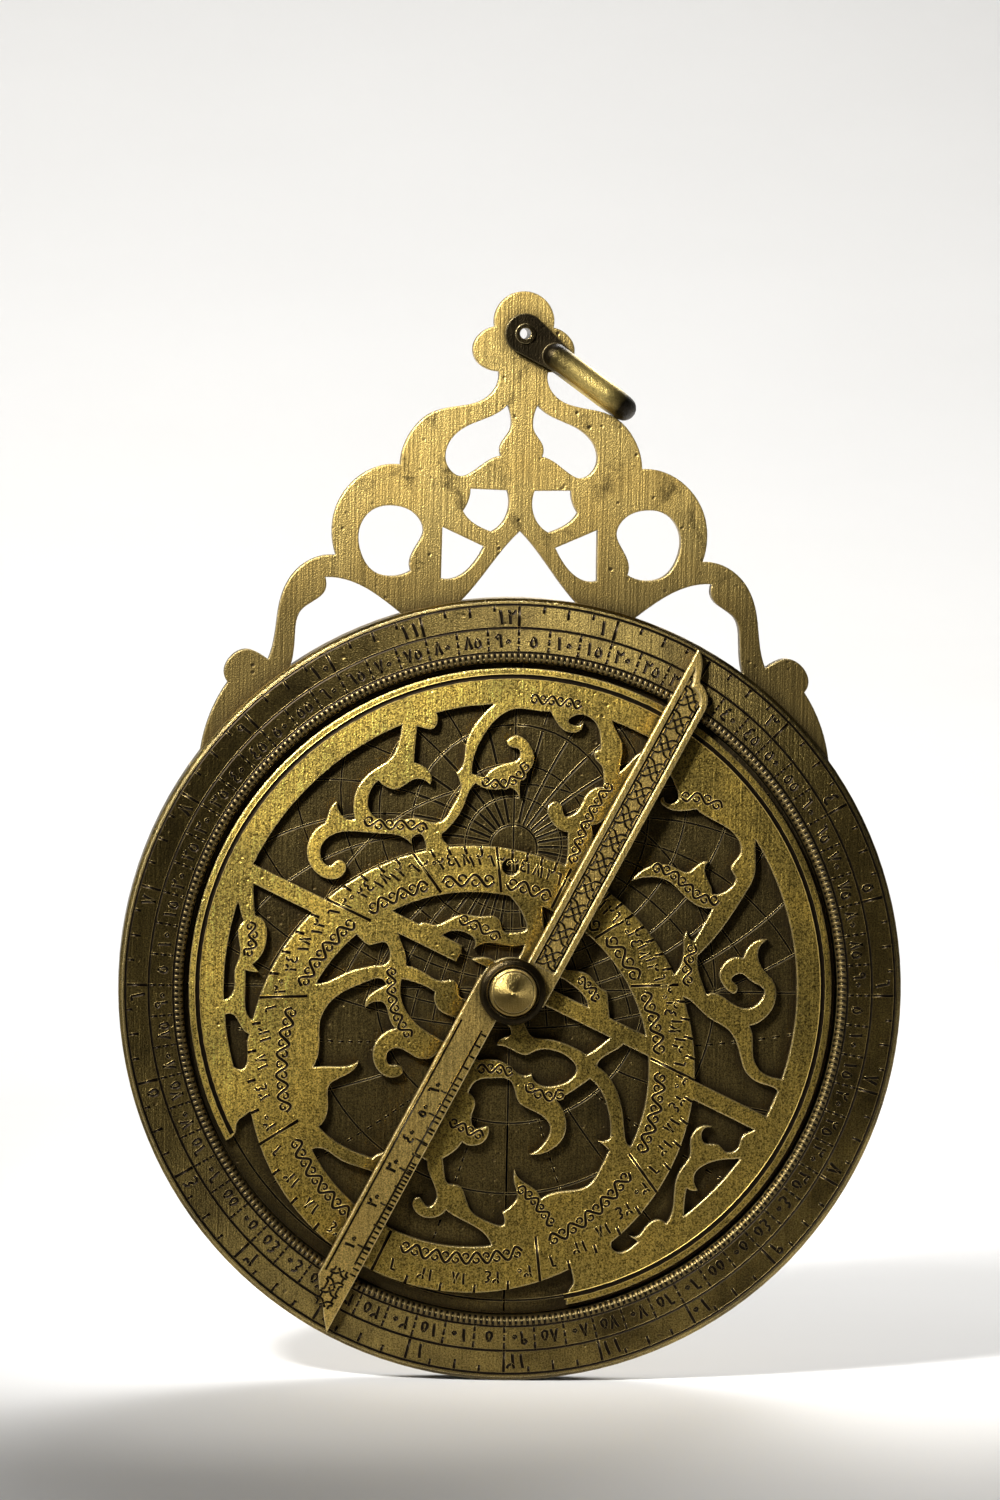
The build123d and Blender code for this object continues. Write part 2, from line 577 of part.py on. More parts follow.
        # Lower right, round the large bud
        pierce(
            [(17.0, -6.9), (19.5, -7.9), (22.0, -10.4), (23.6, -13.0), (23.8, -13.9),
             (23.3, -14.5), (22.4, -14.9)],
            [(22.4, -14.9), (23.5, -15.1), (24.6, -15.5)],
            [(24.6, -15.5), (24.6, -18.5), (24.0, -21.9), (21.2, -24.1), (18.5, -26.8)],
            [(18.5, -26.8), (16.5, -25.8), (14.3, -25.5), (12.9, -24.6)],
            [(12.9, -24.6), (13.3, -25.7), (14.1, -26.8), (15.0, -27.8), (15.0, -29.3),
             (14.1, -31.2)],
            [(14.1, -31.2), (15.0, -33.0), (12.5, -33.5), (9.8, -33.2), (8.1, -31.8), (6.2, -30.5),
             (4.7, -30.9), (3.2, -29.5), (2.1, -27.8)],
            [(2.1, -27.8), (3.15, -26.2), (3.7, -24.2)],
            [(3.7, -24.2), (5.8, -23.8), (6.8, -22.0), (6.2, -20.4), (4.7, -21.5), (3.3, -20.3),
             (2.9, -18.2), (1.2, -17.1)],
            [(1.2, -17.1), (2.0, -14.3), (3.9, -13.2), (5.7, -12.5), (7.1, -13.2), (8.6, -14.8),
             (12.5, -15.2), (14.8, -16.2), (15.2, -18.4), (13.9, -21.4)],
            [(13.9, -21.4), (16.3, -19.6), (17.35, -16.6), (16.0, -13.6), (13.7, -12.1)],
            [(13.7, -12.1), (15.1, -10.3), (16.4, -8.0), (17.0, -6.9)],
        )
        # Bottom, right and left of the post
        pierce(
            [(-3.0, -29.0), (0.2, -29.2)],
            [(0.2, -29.2), (1.9, -31.3), (4.05, -34.5), (3.4, -35.5), (1.4, -34.8), (1.0, -35.6),
             (2.4, -37.1), (4.4, -36.9), (6.1, -34.7)],
            [(6.1, -34.7), (9.0, -35.0), (12.8, -35.3), (15.6, -37.6)],
            zodiac(-57, -95.6),
        )
        pierce(
            [(-16.9, -36.0), (-15.3, -34.6), (-12.0, -34.9), (-8.5, -34.6), (-3.0, -34.4)],
            zodiac(-95.6, -127),
        )
        # Lower left, beside the ecliptic ring
        pierce(
            [(-26.0, -2.6), (-24.2, -3.1), (-22.6, -3.4), (-20.6, -2.0), (-19.0, -3.4),
             (-19.2, -5.2)],
            [(-19.2, -5.2), (-21.5, -6.7), (-23.9, -8.9), (-26.0, -11.5), (-27.9, -12.6)],
            zodiac(178, 157),
        )
        pierce(
            [(-17.5, -7.7), (-18.5, -7.25), (-20.7, -8.9), (-23.8, -13.2), (-24.2, -16.8),
             (-22.4, -21.0), (-22.0, -24.1)],
            [(-22.0, -24.1), (-18.4, -22.2), (-16.9, -21.2), (-16.1, -20.1)],
            [(-16.1, -20.1), (-17.0, -23.0), (-18.5, -25.6), (-17.6, -27.6), (-16.85, -29.5),
             (-17.1, -31.8)],
            [(-17.1, -31.8), (-14.5, -32.6), (-10.5, -32.85), (-7.6, -32.5)],
            [(-7.6, -32.5), (-6.4, -31.0), (-3.0, -30.6)],
            [(-3.0, -13.6), (-5.9, -13.7)],
            [(-5.9, -13.7), (-6.6, -15.0), (-8.4, -15.7), (-11.7, -15.7), (-12.7, -17.0),
             (-11.7, -18.5), (-10.3, -18.0), (-9.3, -18.6), (-9.9, -19.8), (-12.0, -20.3),
             (-14.0, -19.1), (-15.0, -16.7), (-14.4, -14.4), (-13.0, -13.0)],
            [(-13.0, -13.0), (-15.3, -11.5), (-16.7, -10.4), (-18.0, -10.9), (-18.8, -12.3)],
            [(-18.8, -12.3), (-19.2, -10.7), (-18.3, -8.9), (-17.5, -7.7)],
        )
        # The outer ring, and the gap at its foot between two cusps
        add(outer_ring.sketch_local)
        pierce(
            [(-27.6, -33.0), (-28.0, -35.2), (-28.6, -36.8), (-28.2, -38.0), (-28.9, -40.0),
             (-30.5, -42.5)],
            [(-30.5, -42.5), (0.0, -54.0), (30.5, -42.5)],
            [(30.5, -42.5), (28.8, -38.5), (28.65, -37.4), (28.8, -36.4), (27.9, -34.9),
             (27.3, -33.0)],
            zodiac(-39, -141),
        )
        # The bar steps across the middle line at the ecliptic ring
        for side, near in ((1, 0.0), (-1, -rete_bar_bite)):
            rete_bar(near, side * bar_meeting, rete_bar_step + rete_bar_width / 2)
            rete_bar(side * bar_meeting, side * bar_end, -rete_bar_step - rete_bar_width / 2)
        # The leaf beside the hub bites into the bar
        pierce(
            [(-13.2, 2.85), (-12.4, 3.9), (-10.2, 4.8), (-8.4, 4.4), (-7.9, 3.1)],
            [(-7.9, 3.1), (-6.0, 5.1), (-4.0, 5.7), (-1.2, 7.2)],
            [(-1.2, 7.2), (-1.1, 6.0), (-1.3, 3.5)],
            [(-3.5, 2.5), (-5.6, 2.8), (-7.1, 1.9), (-8.5, 1.0), (-9.3, 1.6), (-9.7, 2.75)],
        )
        add(ecliptic_ring.sketch_local)
        with Locations((-post_offset, -(ecliptic_drop + ecliptic_middle_radius) / 2)):
            Rectangle(post_width, ecliptic_drop + ecliptic_middle_radius - rete_hub_radius / 2)
        Circle(rete_hub_radius)
        Circle(pin_hole_radius, mode=Mode.SUBTRACT)
        with Locations(star_place):
            Circle(star_hole_radius, mode=Mode.SUBTRACT)
    extrude(amount=rete_thickness)
finish(rete, "rete")


def rule_arm(side, tip, shoulder):
    """One arm of the rule, whose straight edge lies on the line through the pin."""
    edge_end = (0, rule_reach)
    outer_start = (rule_width, 0)
    outer_end = shoulder[-1]
    placed = [[(0, 0), edge_end], tip, shoulder, [outer_end, outer_start]]
    outline(*[[(side * x, side * z) for x, z in run] for run in placed])


def at_tip(*points):
    """Points of the rule's end: a share of the width from the straight edge, and back from the tip."""
    return [(share * rule_width, rule_reach - back) for share, back in points]


def upper_arm():
    """The arm that ends in a step and a curved point."""
    tip = at_tip((0, 0), (0.17, 0.6), (0.31, 1.7), (0.5, 4.4))
    rule_arm(1, tip, at_tip((0.5, 4.4), (0.75, 5.0), (1, 7.3)))


def lower_arm():
    """The arm that ends in a plain slanting point."""
    tip = at_tip((0, 0), (0.3, 2.1), (0.5, 3.7))
    rule_arm(-1, tip, at_tip((0.5, 3.7), (0.8, 5.6), (1, 7.3)))


# The rule crosses over at the hub, so that both straight edges lie on one line through the pin.
with BuildPart() as rule:
    with BuildSketch(front(rule_back, rule_turn)):
        upper_arm()
        lower_arm()
        Circle(rule_hub_radius)
        Circle(pin_hole_radius, mode=Mode.SUBTRACT)
    extrude(amount=rule_thickness)
    with BuildSketch(front(rule_face + rule_field_sink, rule_turn)):
        border_share = rule_border / rule_width
        field_tip = at_tip((border_share, 2.6), (0.3, 3.9), (0.36, 5.4))
        field_shoulder = at_tip((0.36, 5.4), (0.65, 5.9), (1 - border_share, 7.7))
        outline(
            [(rule_border, rule_field_start), field_tip[0]],
            field_tip,
            field_shoulder,
            [field_shoulder[-1], (rule_width - rule_border, rule_field_start)],
        )
    extrude(amount=rule_field_sink, mode=Mode.SUBTRACT)
finish(rule, "rule")

# A spacer lifts the rule from the sunk rete over the limb.
with BuildPart() as rule_spacer:
    with BuildSketch(front(spacer_back)):
        Circle(spacer_radius)
        Circle(pin_hole_radius, mode=Mode.SUBTRACT)
    extrude(amount=spacer_back - rule_back)
finish(rule_spacer, "rule_spacer")

# The collar is turned, with a rounded edge and a groove round the nut.
with BuildPart() as collar:
    with BuildSketch(front(collar_back)):
        Circle(collar_radius)
        Circle(pin_hole_radius, mode=Mode.SUBTRACT)
    extrude(amount=collar_thickness)
    fillet(collar.edges().group_by(Axis.Y)[0].sort_by(SortBy.RADIUS)[-1], radius=collar_round)
    with BuildSketch(front(collar_face + collar_groove_depth)):
        Circle(collar_groove_radius)
        Circle(nut_radius, mode=Mode.SUBTRACT)
    extrude(amount=collar_groove_depth, mode=Mode.SUBTRACT)
finish(collar, "collar")


def dome(radius, height, start, forward):
    """Three points of the arc over a round end, from its edge to its middle."""
    ball = (radius ** 2 + height ** 2) / (2 * height)
    halfway = height - ball + (ball ** 2 - radius ** 2 / 4) ** 0.5
    return [(radius, start), (radius / 2, start + forward * halfway), (0, start + forward * height)]


turning_plane = Plane(origin=(0, 0, -disc_drop), x_dir=(1, 0, 0), z_dir=(0, 0, 1))

# The nut is a turned cap with a bevelled rim, screwed on the pin's end.
nut_hole_end = nut_face + nut_cap
cap_edge = nut_face + nut_dome
rim_face = cap_edge + nut_rim_step
rim_edge = rim_face + nut_rim_slope
with BuildPart() as nut:
    with BuildSketch(turning_plane):
        outline(
            [(pin_hole_radius, collar_face), (nut_radius, collar_face)],
            [(nut_radius, collar_face), (nut_radius, rim_edge)],
            [(nut_radius, rim_edge), (nut_rim_radius, rim_face)],
            [(nut_rim_radius, rim_face), (nut_front_radius, rim_face)],
            [(nut_front_radius, rim_face), (nut_front_radius, cap_edge)],
            dome(nut_front_radius, nut_dome, cap_edge, -1),
            [(0, nut_face), (0, nut_hole_end)],
            [(0, nut_hole_end), (pin_hole_radius, nut_hole_end)],
        )
    revolve(axis=disc_axis)
finish(nut, "nut")

# The pin goes through everything from behind.
head_edge = washer_back + pin_head_edge
pin_end = nut_hole_end + seat_clearance
with BuildPart() as centre_pin:
    with BuildSketch(turning_plane):
        outline(
            [(0, pin_end), (pin_radius, pin_end)],
            [(pin_radius, pin_end), (pin_radius, washer_back)],
            [(pin_radius, washer_back), (pin_head_radius, washer_back)],
            [(pin_head_radius, washer_back), (pin_head_radius, head_edge)],
            dome(pin_head_radius, pin_head_dome, head_edge, 1),
        )
    revolve(axis=disc_axis)
finish(centre_pin, "centre_pin")

with BuildPart() as pin_washer:
    with BuildSketch(front(washer_back)):
        Circle(washer_radius)
        Circle(pin_hole_radius, mode=Mode.SUBTRACT)
    extrude(amount=washer_thickness)
finish(pin_washer, "pin_washer")

# The alidade is a straight bar behind, pointed at both ends, with a slot for each sight vane.
with BuildPart() as alidade:
    with BuildSketch(front(alidade_back, alidade_turn)):
        half_width = alidade_width / 2
        neck = alidade_reach - alidade_point
        neck_middle = alidade_reach - 0.6 * alidade_point
        for side in (1, -1):
            outline(
                [(0, alidade_reach), (0.4 * half_width, neck_middle), (half_width, neck)],
                [(half_width, neck), (half_width, -neck)],
                [(half_width, -neck), (0.4 * half_width, -neck_middle), (0, -alidade_reach)],
                side=side,
            )
        Circle(alidade_hub_radius)
        Circle(pin_hole_radius, mode=Mode.SUBTRACT)
        with Locations((0, vane_distance), (0, -vane_distance)):
            Rectangle(tenon_width + 2 * seat_clearance, vane_thickness + 2 * seat_clearance,
                      mode=Mode.SUBTRACT)
    extrude(amount=alidade_thickness)
finish(alidade, "alidade")

# Each sight vane stands on the bar with a tenon through it, and has two holes to look through.
along_alidade = Vector(sin(radians(alidade_turn)), 0, cos(radians(alidade_turn)))
across_alidade = Vector(cos(radians(alidade_turn)), 0, -sin(radians(alidade_turn)))
for name, distance in (("sight_vane_upper", vane_distance), ("sight_vane_lower", -vane_distance)):
    foot = Vector(0, alidade_back, -disc_drop) + along_alidade * (distance - vane_thickness / 2)
    with BuildPart() as vane:
        with BuildSketch(Plane(origin=foot, x_dir=across_alidade, z_dir=along_alidade)):
            for side in (1, -1):
                outline(
                    [(0, 0), (vane_width / 2, 0)],
                    [(vane_width / 2, 0), (vane_width / 2, vane_height - vane_shoulder)],
                    [(vane_width / 2, vane_height - vane_shoulder),
                     (0.35 * vane_width, vane_height - 0.35 * vane_shoulder), (0, vane_height)],
                    side=side,
                )
            Rectangle(tenon_width, alidade_thickness, align=(Align.CENTER, Align.MAX))
            with Locations((0, sight_hole_height)):
                Circle(sight_hole_radius, mode=Mode.SUBTRACT)
            with Locations((0, pinhole_height)):
                Circle(pinhole_radius, mode=Mode.SUBTRACT)
        extrude(amount=vane_thickness)
    finish(vane, name)

# The shackle is one bent bar whose flattened ends turn on the hollow rivet, one each side.
ear_inner = throne_thickness / 2 + ear_gap
ear_outer = ear_inner + ear_thickness
towards_bow = (cos(radians(shackle_turn)), 0, -sin(radians(shackle_turn)))
across_bow = (sin(radians(shackle_turn)), 0, cos(radians(shackle_turn)))
leg_start = ear_length - stock_radius
bend_start = shackle_reach - leg_offset
with BuildPart() as shackle:
    with BuildLine(Plane(origin=(0, 0, 0), x_dir=towards_bow, z_dir=across_bow)) as bow:
        Line((leg_start, -leg_offset), (bend_start, -leg_offset))
        ThreePointArc((bend_start, -leg_offset), (shackle_reach, 0), (bend_start, leg_offset))
        Line((bend_start, leg_offset), (leg_start, leg_offset))
    with BuildSketch(bow.line ^ 0):
        Circle(stock_radius)
    sweep(path=bow.line)
    with Locations(bow.line @ 0, bow.line @ 1):
        Sphere(stock_radius)
    for depth in (-ear_inner, ear_outer):
        with BuildSketch(Plane(origin=(0, depth, 0), x_dir=towards_bow, z_dir=(0, -1, 0))):
            Circle(ear_radius)
            with Locations((ear_length, 0)):
                Circle(stock_radius)
            make_hull()
        extrude(amount=ear_thickness)
    with BuildSketch(Plane(origin=(0, ear_outer, 0), x_dir=(1, 0, 0), z_dir=(0, -1, 0))):
        Circle(tube_radius + running_clearance)
    extrude(amount=2 * ear_outer, mode=Mode.SUBTRACT)
finish(shackle, "shackle")

# The hollow rivet is a tube, flared over both ears, and open right through for a hanging wire.
flare_start = ear_outer + sliding_gap
tube_end = flare_start + flare_thickness
with BuildPart() as hollow_rivet:
    with BuildSketch(Plane.XY):
        for side in (1, -1):
            outline(
                [(bore_radius, 0), (bore_radius, side * tube_end)],
                [(bore_radius, side * tube_end), (flare_radius, side * tube_end)],
                [(flare_radius, side * tube_end), (flare_radius, side * flare_start)],
                [(flare_radius, side * flare_start), (tube_radius, side * flare_start)],
                [(tube_radius, side * flare_start), (tube_radius, 0)],
            )
    revolve(axis=pivot_axis)
finish(hollow_rivet, "hollow_rivet")
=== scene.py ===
# %% [markdown]
# A planispheric astrolabe, dressed in Blender
#
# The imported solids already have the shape: a deep dish with a raised limb, an openwork star map, a
# rule, a sighting bar and a shackle. What they lack is the work of the engraver and the metal itself.
# The lesson cuts every scale, numeral and ornament as a small closed surface made with numpy, and then
# gives each brass its own colour, grain, pits and worn edges.

# %% Load the frame
from math import cos, pi, radians, sin, tan

import bpy
import numpy as np
from mathutils import Matrix, Vector


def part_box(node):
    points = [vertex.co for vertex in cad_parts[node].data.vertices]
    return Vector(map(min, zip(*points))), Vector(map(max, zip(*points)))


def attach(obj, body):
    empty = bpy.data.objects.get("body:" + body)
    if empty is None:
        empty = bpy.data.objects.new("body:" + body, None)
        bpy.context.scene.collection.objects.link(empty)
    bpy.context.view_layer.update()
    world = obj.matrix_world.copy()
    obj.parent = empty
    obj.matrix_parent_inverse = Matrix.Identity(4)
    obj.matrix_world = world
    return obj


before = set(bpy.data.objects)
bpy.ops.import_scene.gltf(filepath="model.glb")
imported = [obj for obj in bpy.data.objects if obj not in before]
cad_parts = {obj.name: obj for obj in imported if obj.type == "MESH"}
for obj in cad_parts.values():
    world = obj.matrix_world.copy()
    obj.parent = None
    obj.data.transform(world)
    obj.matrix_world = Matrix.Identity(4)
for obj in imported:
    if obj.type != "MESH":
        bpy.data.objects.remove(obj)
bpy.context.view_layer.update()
MM = 0.001
print(len(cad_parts), "nodes from the packed model")

# %% [markdown]
# The camera comes first. The photograph looks at the front from a little to the left and a little
# above, through a long lens, and the instrument leans about a degree to the right in it. The scale, in
# pixels to a millimetre, is measured on the disc. A long lens is a camera far away with a narrow view:
# its focal length is the distance times the sensor's height over the height of the view.

# %% Camera
PHOTO_HEIGHT = 1500
PIXELS_PER_MM = 6.53
DISC_DROP = 100.3
AIM_SIDE = -2.28
AIM_RISE = 36.58
AIM = Vector((AIM_SIDE * MM, 0.0, (AIM_RISE - DISC_DROP) * MM))
SENSOR_HEIGHT = 36.0
CAMERA_DISTANCE = 1.1
CAMERA_AZIMUTH = -4.0
CAMERA_ELEVATION = 3.0
CAMERA_ROLL = 1.2


def towards(azimuth, elevation):
    """The unit vector from the object to a camera: azimuth from the front, elevation upwards."""
    flat = cos(radians(elevation))
    return Vector((sin(radians(azimuth)) * flat, -cos(radians(azimuth)) * flat, sin(radians(elevation))))


lens = bpy.data.cameras.new("camera")
lens.sensor_fit = "VERTICAL"
lens.sensor_height = SENSOR_HEIGHT
lens.lens = CAMERA_DISTANCE * SENSOR_HEIGHT / (PHOTO_HEIGHT / PIXELS_PER_MM * MM)
camera = bpy.data.objects.new("camera", lens)
bpy.context.scene.collection.objects.link(camera)
away = towards(CAMERA_AZIMUTH, CAMERA_ELEVATION)
turn = away.to_track_quat("Z", "Y").to_matrix().to_4x4()
camera.matrix_world = (Matrix.Translation(AIM + away * CAMERA_DISTANCE) @ turn
                       @ Matrix.Rotation(radians(CAMERA_ROLL), 4, "Z"))
bpy.context.scene.camera = camera
print("lens", round(lens.lens), "mm")

# %% [markdown]
# A few helpers are used all the way through. The first makes a mesh from whole arrays of points and
# faces. The others add shader nodes: any node with its inputs, then the kinds that are used most.


# %% Helpers for meshes and materials
def surface(name, points, faces, material):
    """A mesh object from an array of points in millimetres and an array of four-cornered faces."""
    mesh = bpy.data.meshes.new(name)
    points = np.asarray(points, float).reshape(-1, 3) * MM
    faces = np.asarray(faces, int).reshape(-1, 4)
    mesh.vertices.add(len(points))
    mesh.vertices.foreach_set("co", points.ravel())
    mesh.loops.add(faces.size)
    mesh.loops.foreach_set("vertex_index", faces.ravel())
    mesh.polygons.add(len(faces))
    mesh.polygons.foreach_set("loop_start", np.arange(0, faces.size, 4))
    mesh.polygons.foreach_set("use_smooth", np.ones(len(faces), bool))
    mesh.update(calc_edges=True)
    mesh.materials.append(material)
    made = bpy.data.objects.new(name, mesh)
    bpy.context.scene.collection.objects.link(made)
    return made


def node(tree, kind, inputs=(), **settings):
    """Adds a shader node, sets its options and fills its inputs with values or other outputs."""
    made = tree.nodes.new("ShaderNode" + kind)
    for key, value in settings.items():
        setattr(made, key, value)
    for key, value in dict(inputs).items():
        if isinstance(value, bpy.types.NodeSocket):
            tree.links.new(value, made.inputs[key])
        else:
            made.inputs[key].default_value = value
    return made


def new_material(name):
    """An empty node material, and its tree."""
    made = bpy.data.materials.new(name)
    made.use_nodes = True
    made.node_tree.nodes.clear()
    return made, made.node_tree


def ramp(tree, value, low, high, start=0.0, end=1.0):
    """A value's stretch from low to high, mapped evenly to the stretch from start to end."""
    return node(tree, "MapRange", {"Value": value, "From Min": low, "From Max": high,
                                   "To Min": start, "To Max": end}).outputs[0]


def mix(tree, share, first, second):
    """A blend of two colours, with the share of the second."""
    return node(tree, "MixRGB", {"Fac": share, "Color1": first, "Color2": second}).outputs[0]


def both(tree, operation, first, second, clamp=False):
    """Two values joined by an operation, such as a sum or a product."""
    return node(tree, "Math", {0: first, 1: second}, operation=operation, use_clamp=clamp).outputs[0]


def vectors(tree, operation, first, second, output=0):
    """Two vectors joined by an operation, such as a sum or a dot product."""
    return node(tree, "VectorMath", {0: first, 1: second}, operation=operation).outputs[output]


def noise(tree, place, scale, **inputs):
    """Cloudy noise at a place. The larger the scale, the smaller the clouds."""
    return node(tree, "TexNoise", {"Vector": place, "Scale": scale, **inputs}).outputs[0]


print("helpers:", surface.__name__, node.__name__, new_material.__name__, ramp.__name__, mix.__name__,
      both.__name__, vectors.__name__, noise.__name__)

# %% [markdown]
# A studio sweep is a floor that bends up into a wall. It is one surface: a profile of a straight run,
# a quarter circle and another straight run, drawn out sideways. The paper is pale, and it ends just in
# front of the instrument, because lit paper there would throw light up on to the disc's dark foot.

# %% Floor
paper, tree = new_material("paper")
fibres = node(tree, "TexNoise", {"Scale": 40.0, "Detail": 3.0}).outputs[0]
shade = mix(tree, fibres, (0.80, 0.79, 0.77, 1), (0.84, 0.83, 0.81, 1))
white = node(tree, "BsdfPrincipled", {"Base Color": shade, "Roughness": 0.9})
node(tree, "OutputMaterial", {"Surface": white.outputs[0]})

FLOOR_LEVEL = -160.4
SWEEP_HALF_WIDTH = 2500.0
SWEEP_HEIGHT = 2500.0
SWEEP_RADIUS = 500.0
SWEEP_FRONT = -140.0
SWEEP_BACK = 1550.0
quarter = np.linspace(0, pi / 2, 24)
profile = np.concatenate([
    [(SWEEP_FRONT, 0.0)],
    np.column_stack([SWEEP_BACK - SWEEP_RADIUS + SWEEP_RADIUS * np.sin(quarter),
                     SWEEP_RADIUS - SWEEP_RADIUS * np.cos(quarter)]),
    [(SWEEP_BACK, SWEEP_HEIGHT)],
])
sides = np.array([-SWEEP_HALF_WIDTH, SWEEP_HALF_WIDTH])
sweep = np.empty((len(profile), 2, 3))
sweep[..., 0] = sides
sweep[..., 1] = profile[:, :1]
sweep[..., 2] = profile[:, 1:] + FLOOR_LEVEL
cells = np.arange(len(profile) * 2).reshape(-1, 2)
sweep_faces = np.stack([cells[:-1, 0], cells[:-1, 1], cells[1:, 1], cells[1:, 0]], axis=1)
floor = surface("floor", sweep, sweep_faces, paper)
print("floor of", len(sweep_faces), "faces")

# %% [markdown]
# Nearly all the light on the metal comes from one lamp, close by at the upper left, where the
# photograph has its highlights. Its cone is narrow, so it misses most of the paper. Two weak lamps
# open the shadows on either side, one stands behind for the back's sake, and one lights the paper from
# above. The world is pale where the camera sees it and almost dark as a light.


# %% Lamps and world
def lamp(name, azimuth, elevation, distance, size, power, middle=Vector((0, 0, -0.08)), spread=180):
    """A square soft lamp, aimed at the middle of the instrument or at another point. Its spread is the
    angle of its cone in degrees."""
    data = bpy.data.lights.new(name, "AREA")
    data.size = size
    data.energy = power
    data.spread = radians(spread)
    made = bpy.data.objects.new(name, data)
    direction = towards(azimuth, elevation)
    made.matrix_world = (Matrix.Translation(middle + direction * distance)
                         @ direction.to_track_quat("Z", "Y").to_matrix().to_4x4())
    bpy.context.scene.collection.objects.link(made)


THRONE_FOOT = Vector((-0.012, 0, -0.032))
PAPER_BEND = Vector((0, 1.05, -0.16))
lamp("key", azimuth=-34, elevation=30, distance=0.42, size=0.08, power=0.40, middle=THRONE_FOOT,
     spread=40)
lamp("front", azimuth=-52, elevation=8, distance=0.8, size=0.3, power=0.2)
lamp("fill", azimuth=66, elevation=0, distance=0.9, size=0.3, power=0.05)
lamp("rear", azimuth=160, elevation=35, distance=1.2, size=0.6, power=1.5, spread=60)
lamp("wall", azimuth=0, elevation=84, distance=1.3, size=1.2, power=9.5, middle=PAPER_BEND, spread=100)

world = bpy.data.worlds.new("studio")
world.use_nodes = True
bpy.context.scene.world = world
tree = world.node_tree
tree.nodes.clear()
light_path = node(tree, "LightPath")
seen = node(tree, "Background", {"Color": (0.86, 0.86, 0.85, 1), "Strength": 1.0})
lit = node(tree, "Background", {"Color": (0.86, 0.84, 0.81, 1), "Strength": 0.05})
chosen = node(tree, "MixShader", {0: light_path.outputs["Is Camera Ray"], 1: lit.outputs[0],
                                  2: seen.outputs[0]})
node(tree, "OutputWorld", {"Surface": chosen.outputs[0]})
bpy.context.scene.view_settings.view_transform = "Standard"
print(len(bpy.data.lights), "lamps and the world are in place")

# %% [markdown]
# Old brass isn't one colour. Polished places are pale gold, casting leaves pits, and the file leaves
# upright streaks. Hollows and the plate beside raised parts are darkened, partly as dirt and partly as
# painted shade, and every edge is coloured bright, partly as wear and partly as a painted highlight. One
# function makes them all, with the amounts as its arguments, and the pattern sits on Object coordinates so
# that it stays put when a piece turns.


# %% Brass
TO_PIN = (0.0, 0.0, DISC_DROP * MM)
PIT_COLOUR = (0.06, 0.04, 0.02, 1)
# Of the next three colours, the patina colour also paints shade on the throne and the star map, the dirt
# colour also paints shade in hollows, and the rubbed colour also paints highlights on edges.
PATINA_AND_SHADE_COLOUR = (0.016, 0.012, 0.006, 1)
DIRT_AND_SHADE_COLOUR = (0.035, 0.025, 0.012, 1)
RUBBED_AND_HIGHLIGHT_COLOUR = (0.88, 0.70, 0.34, 1)


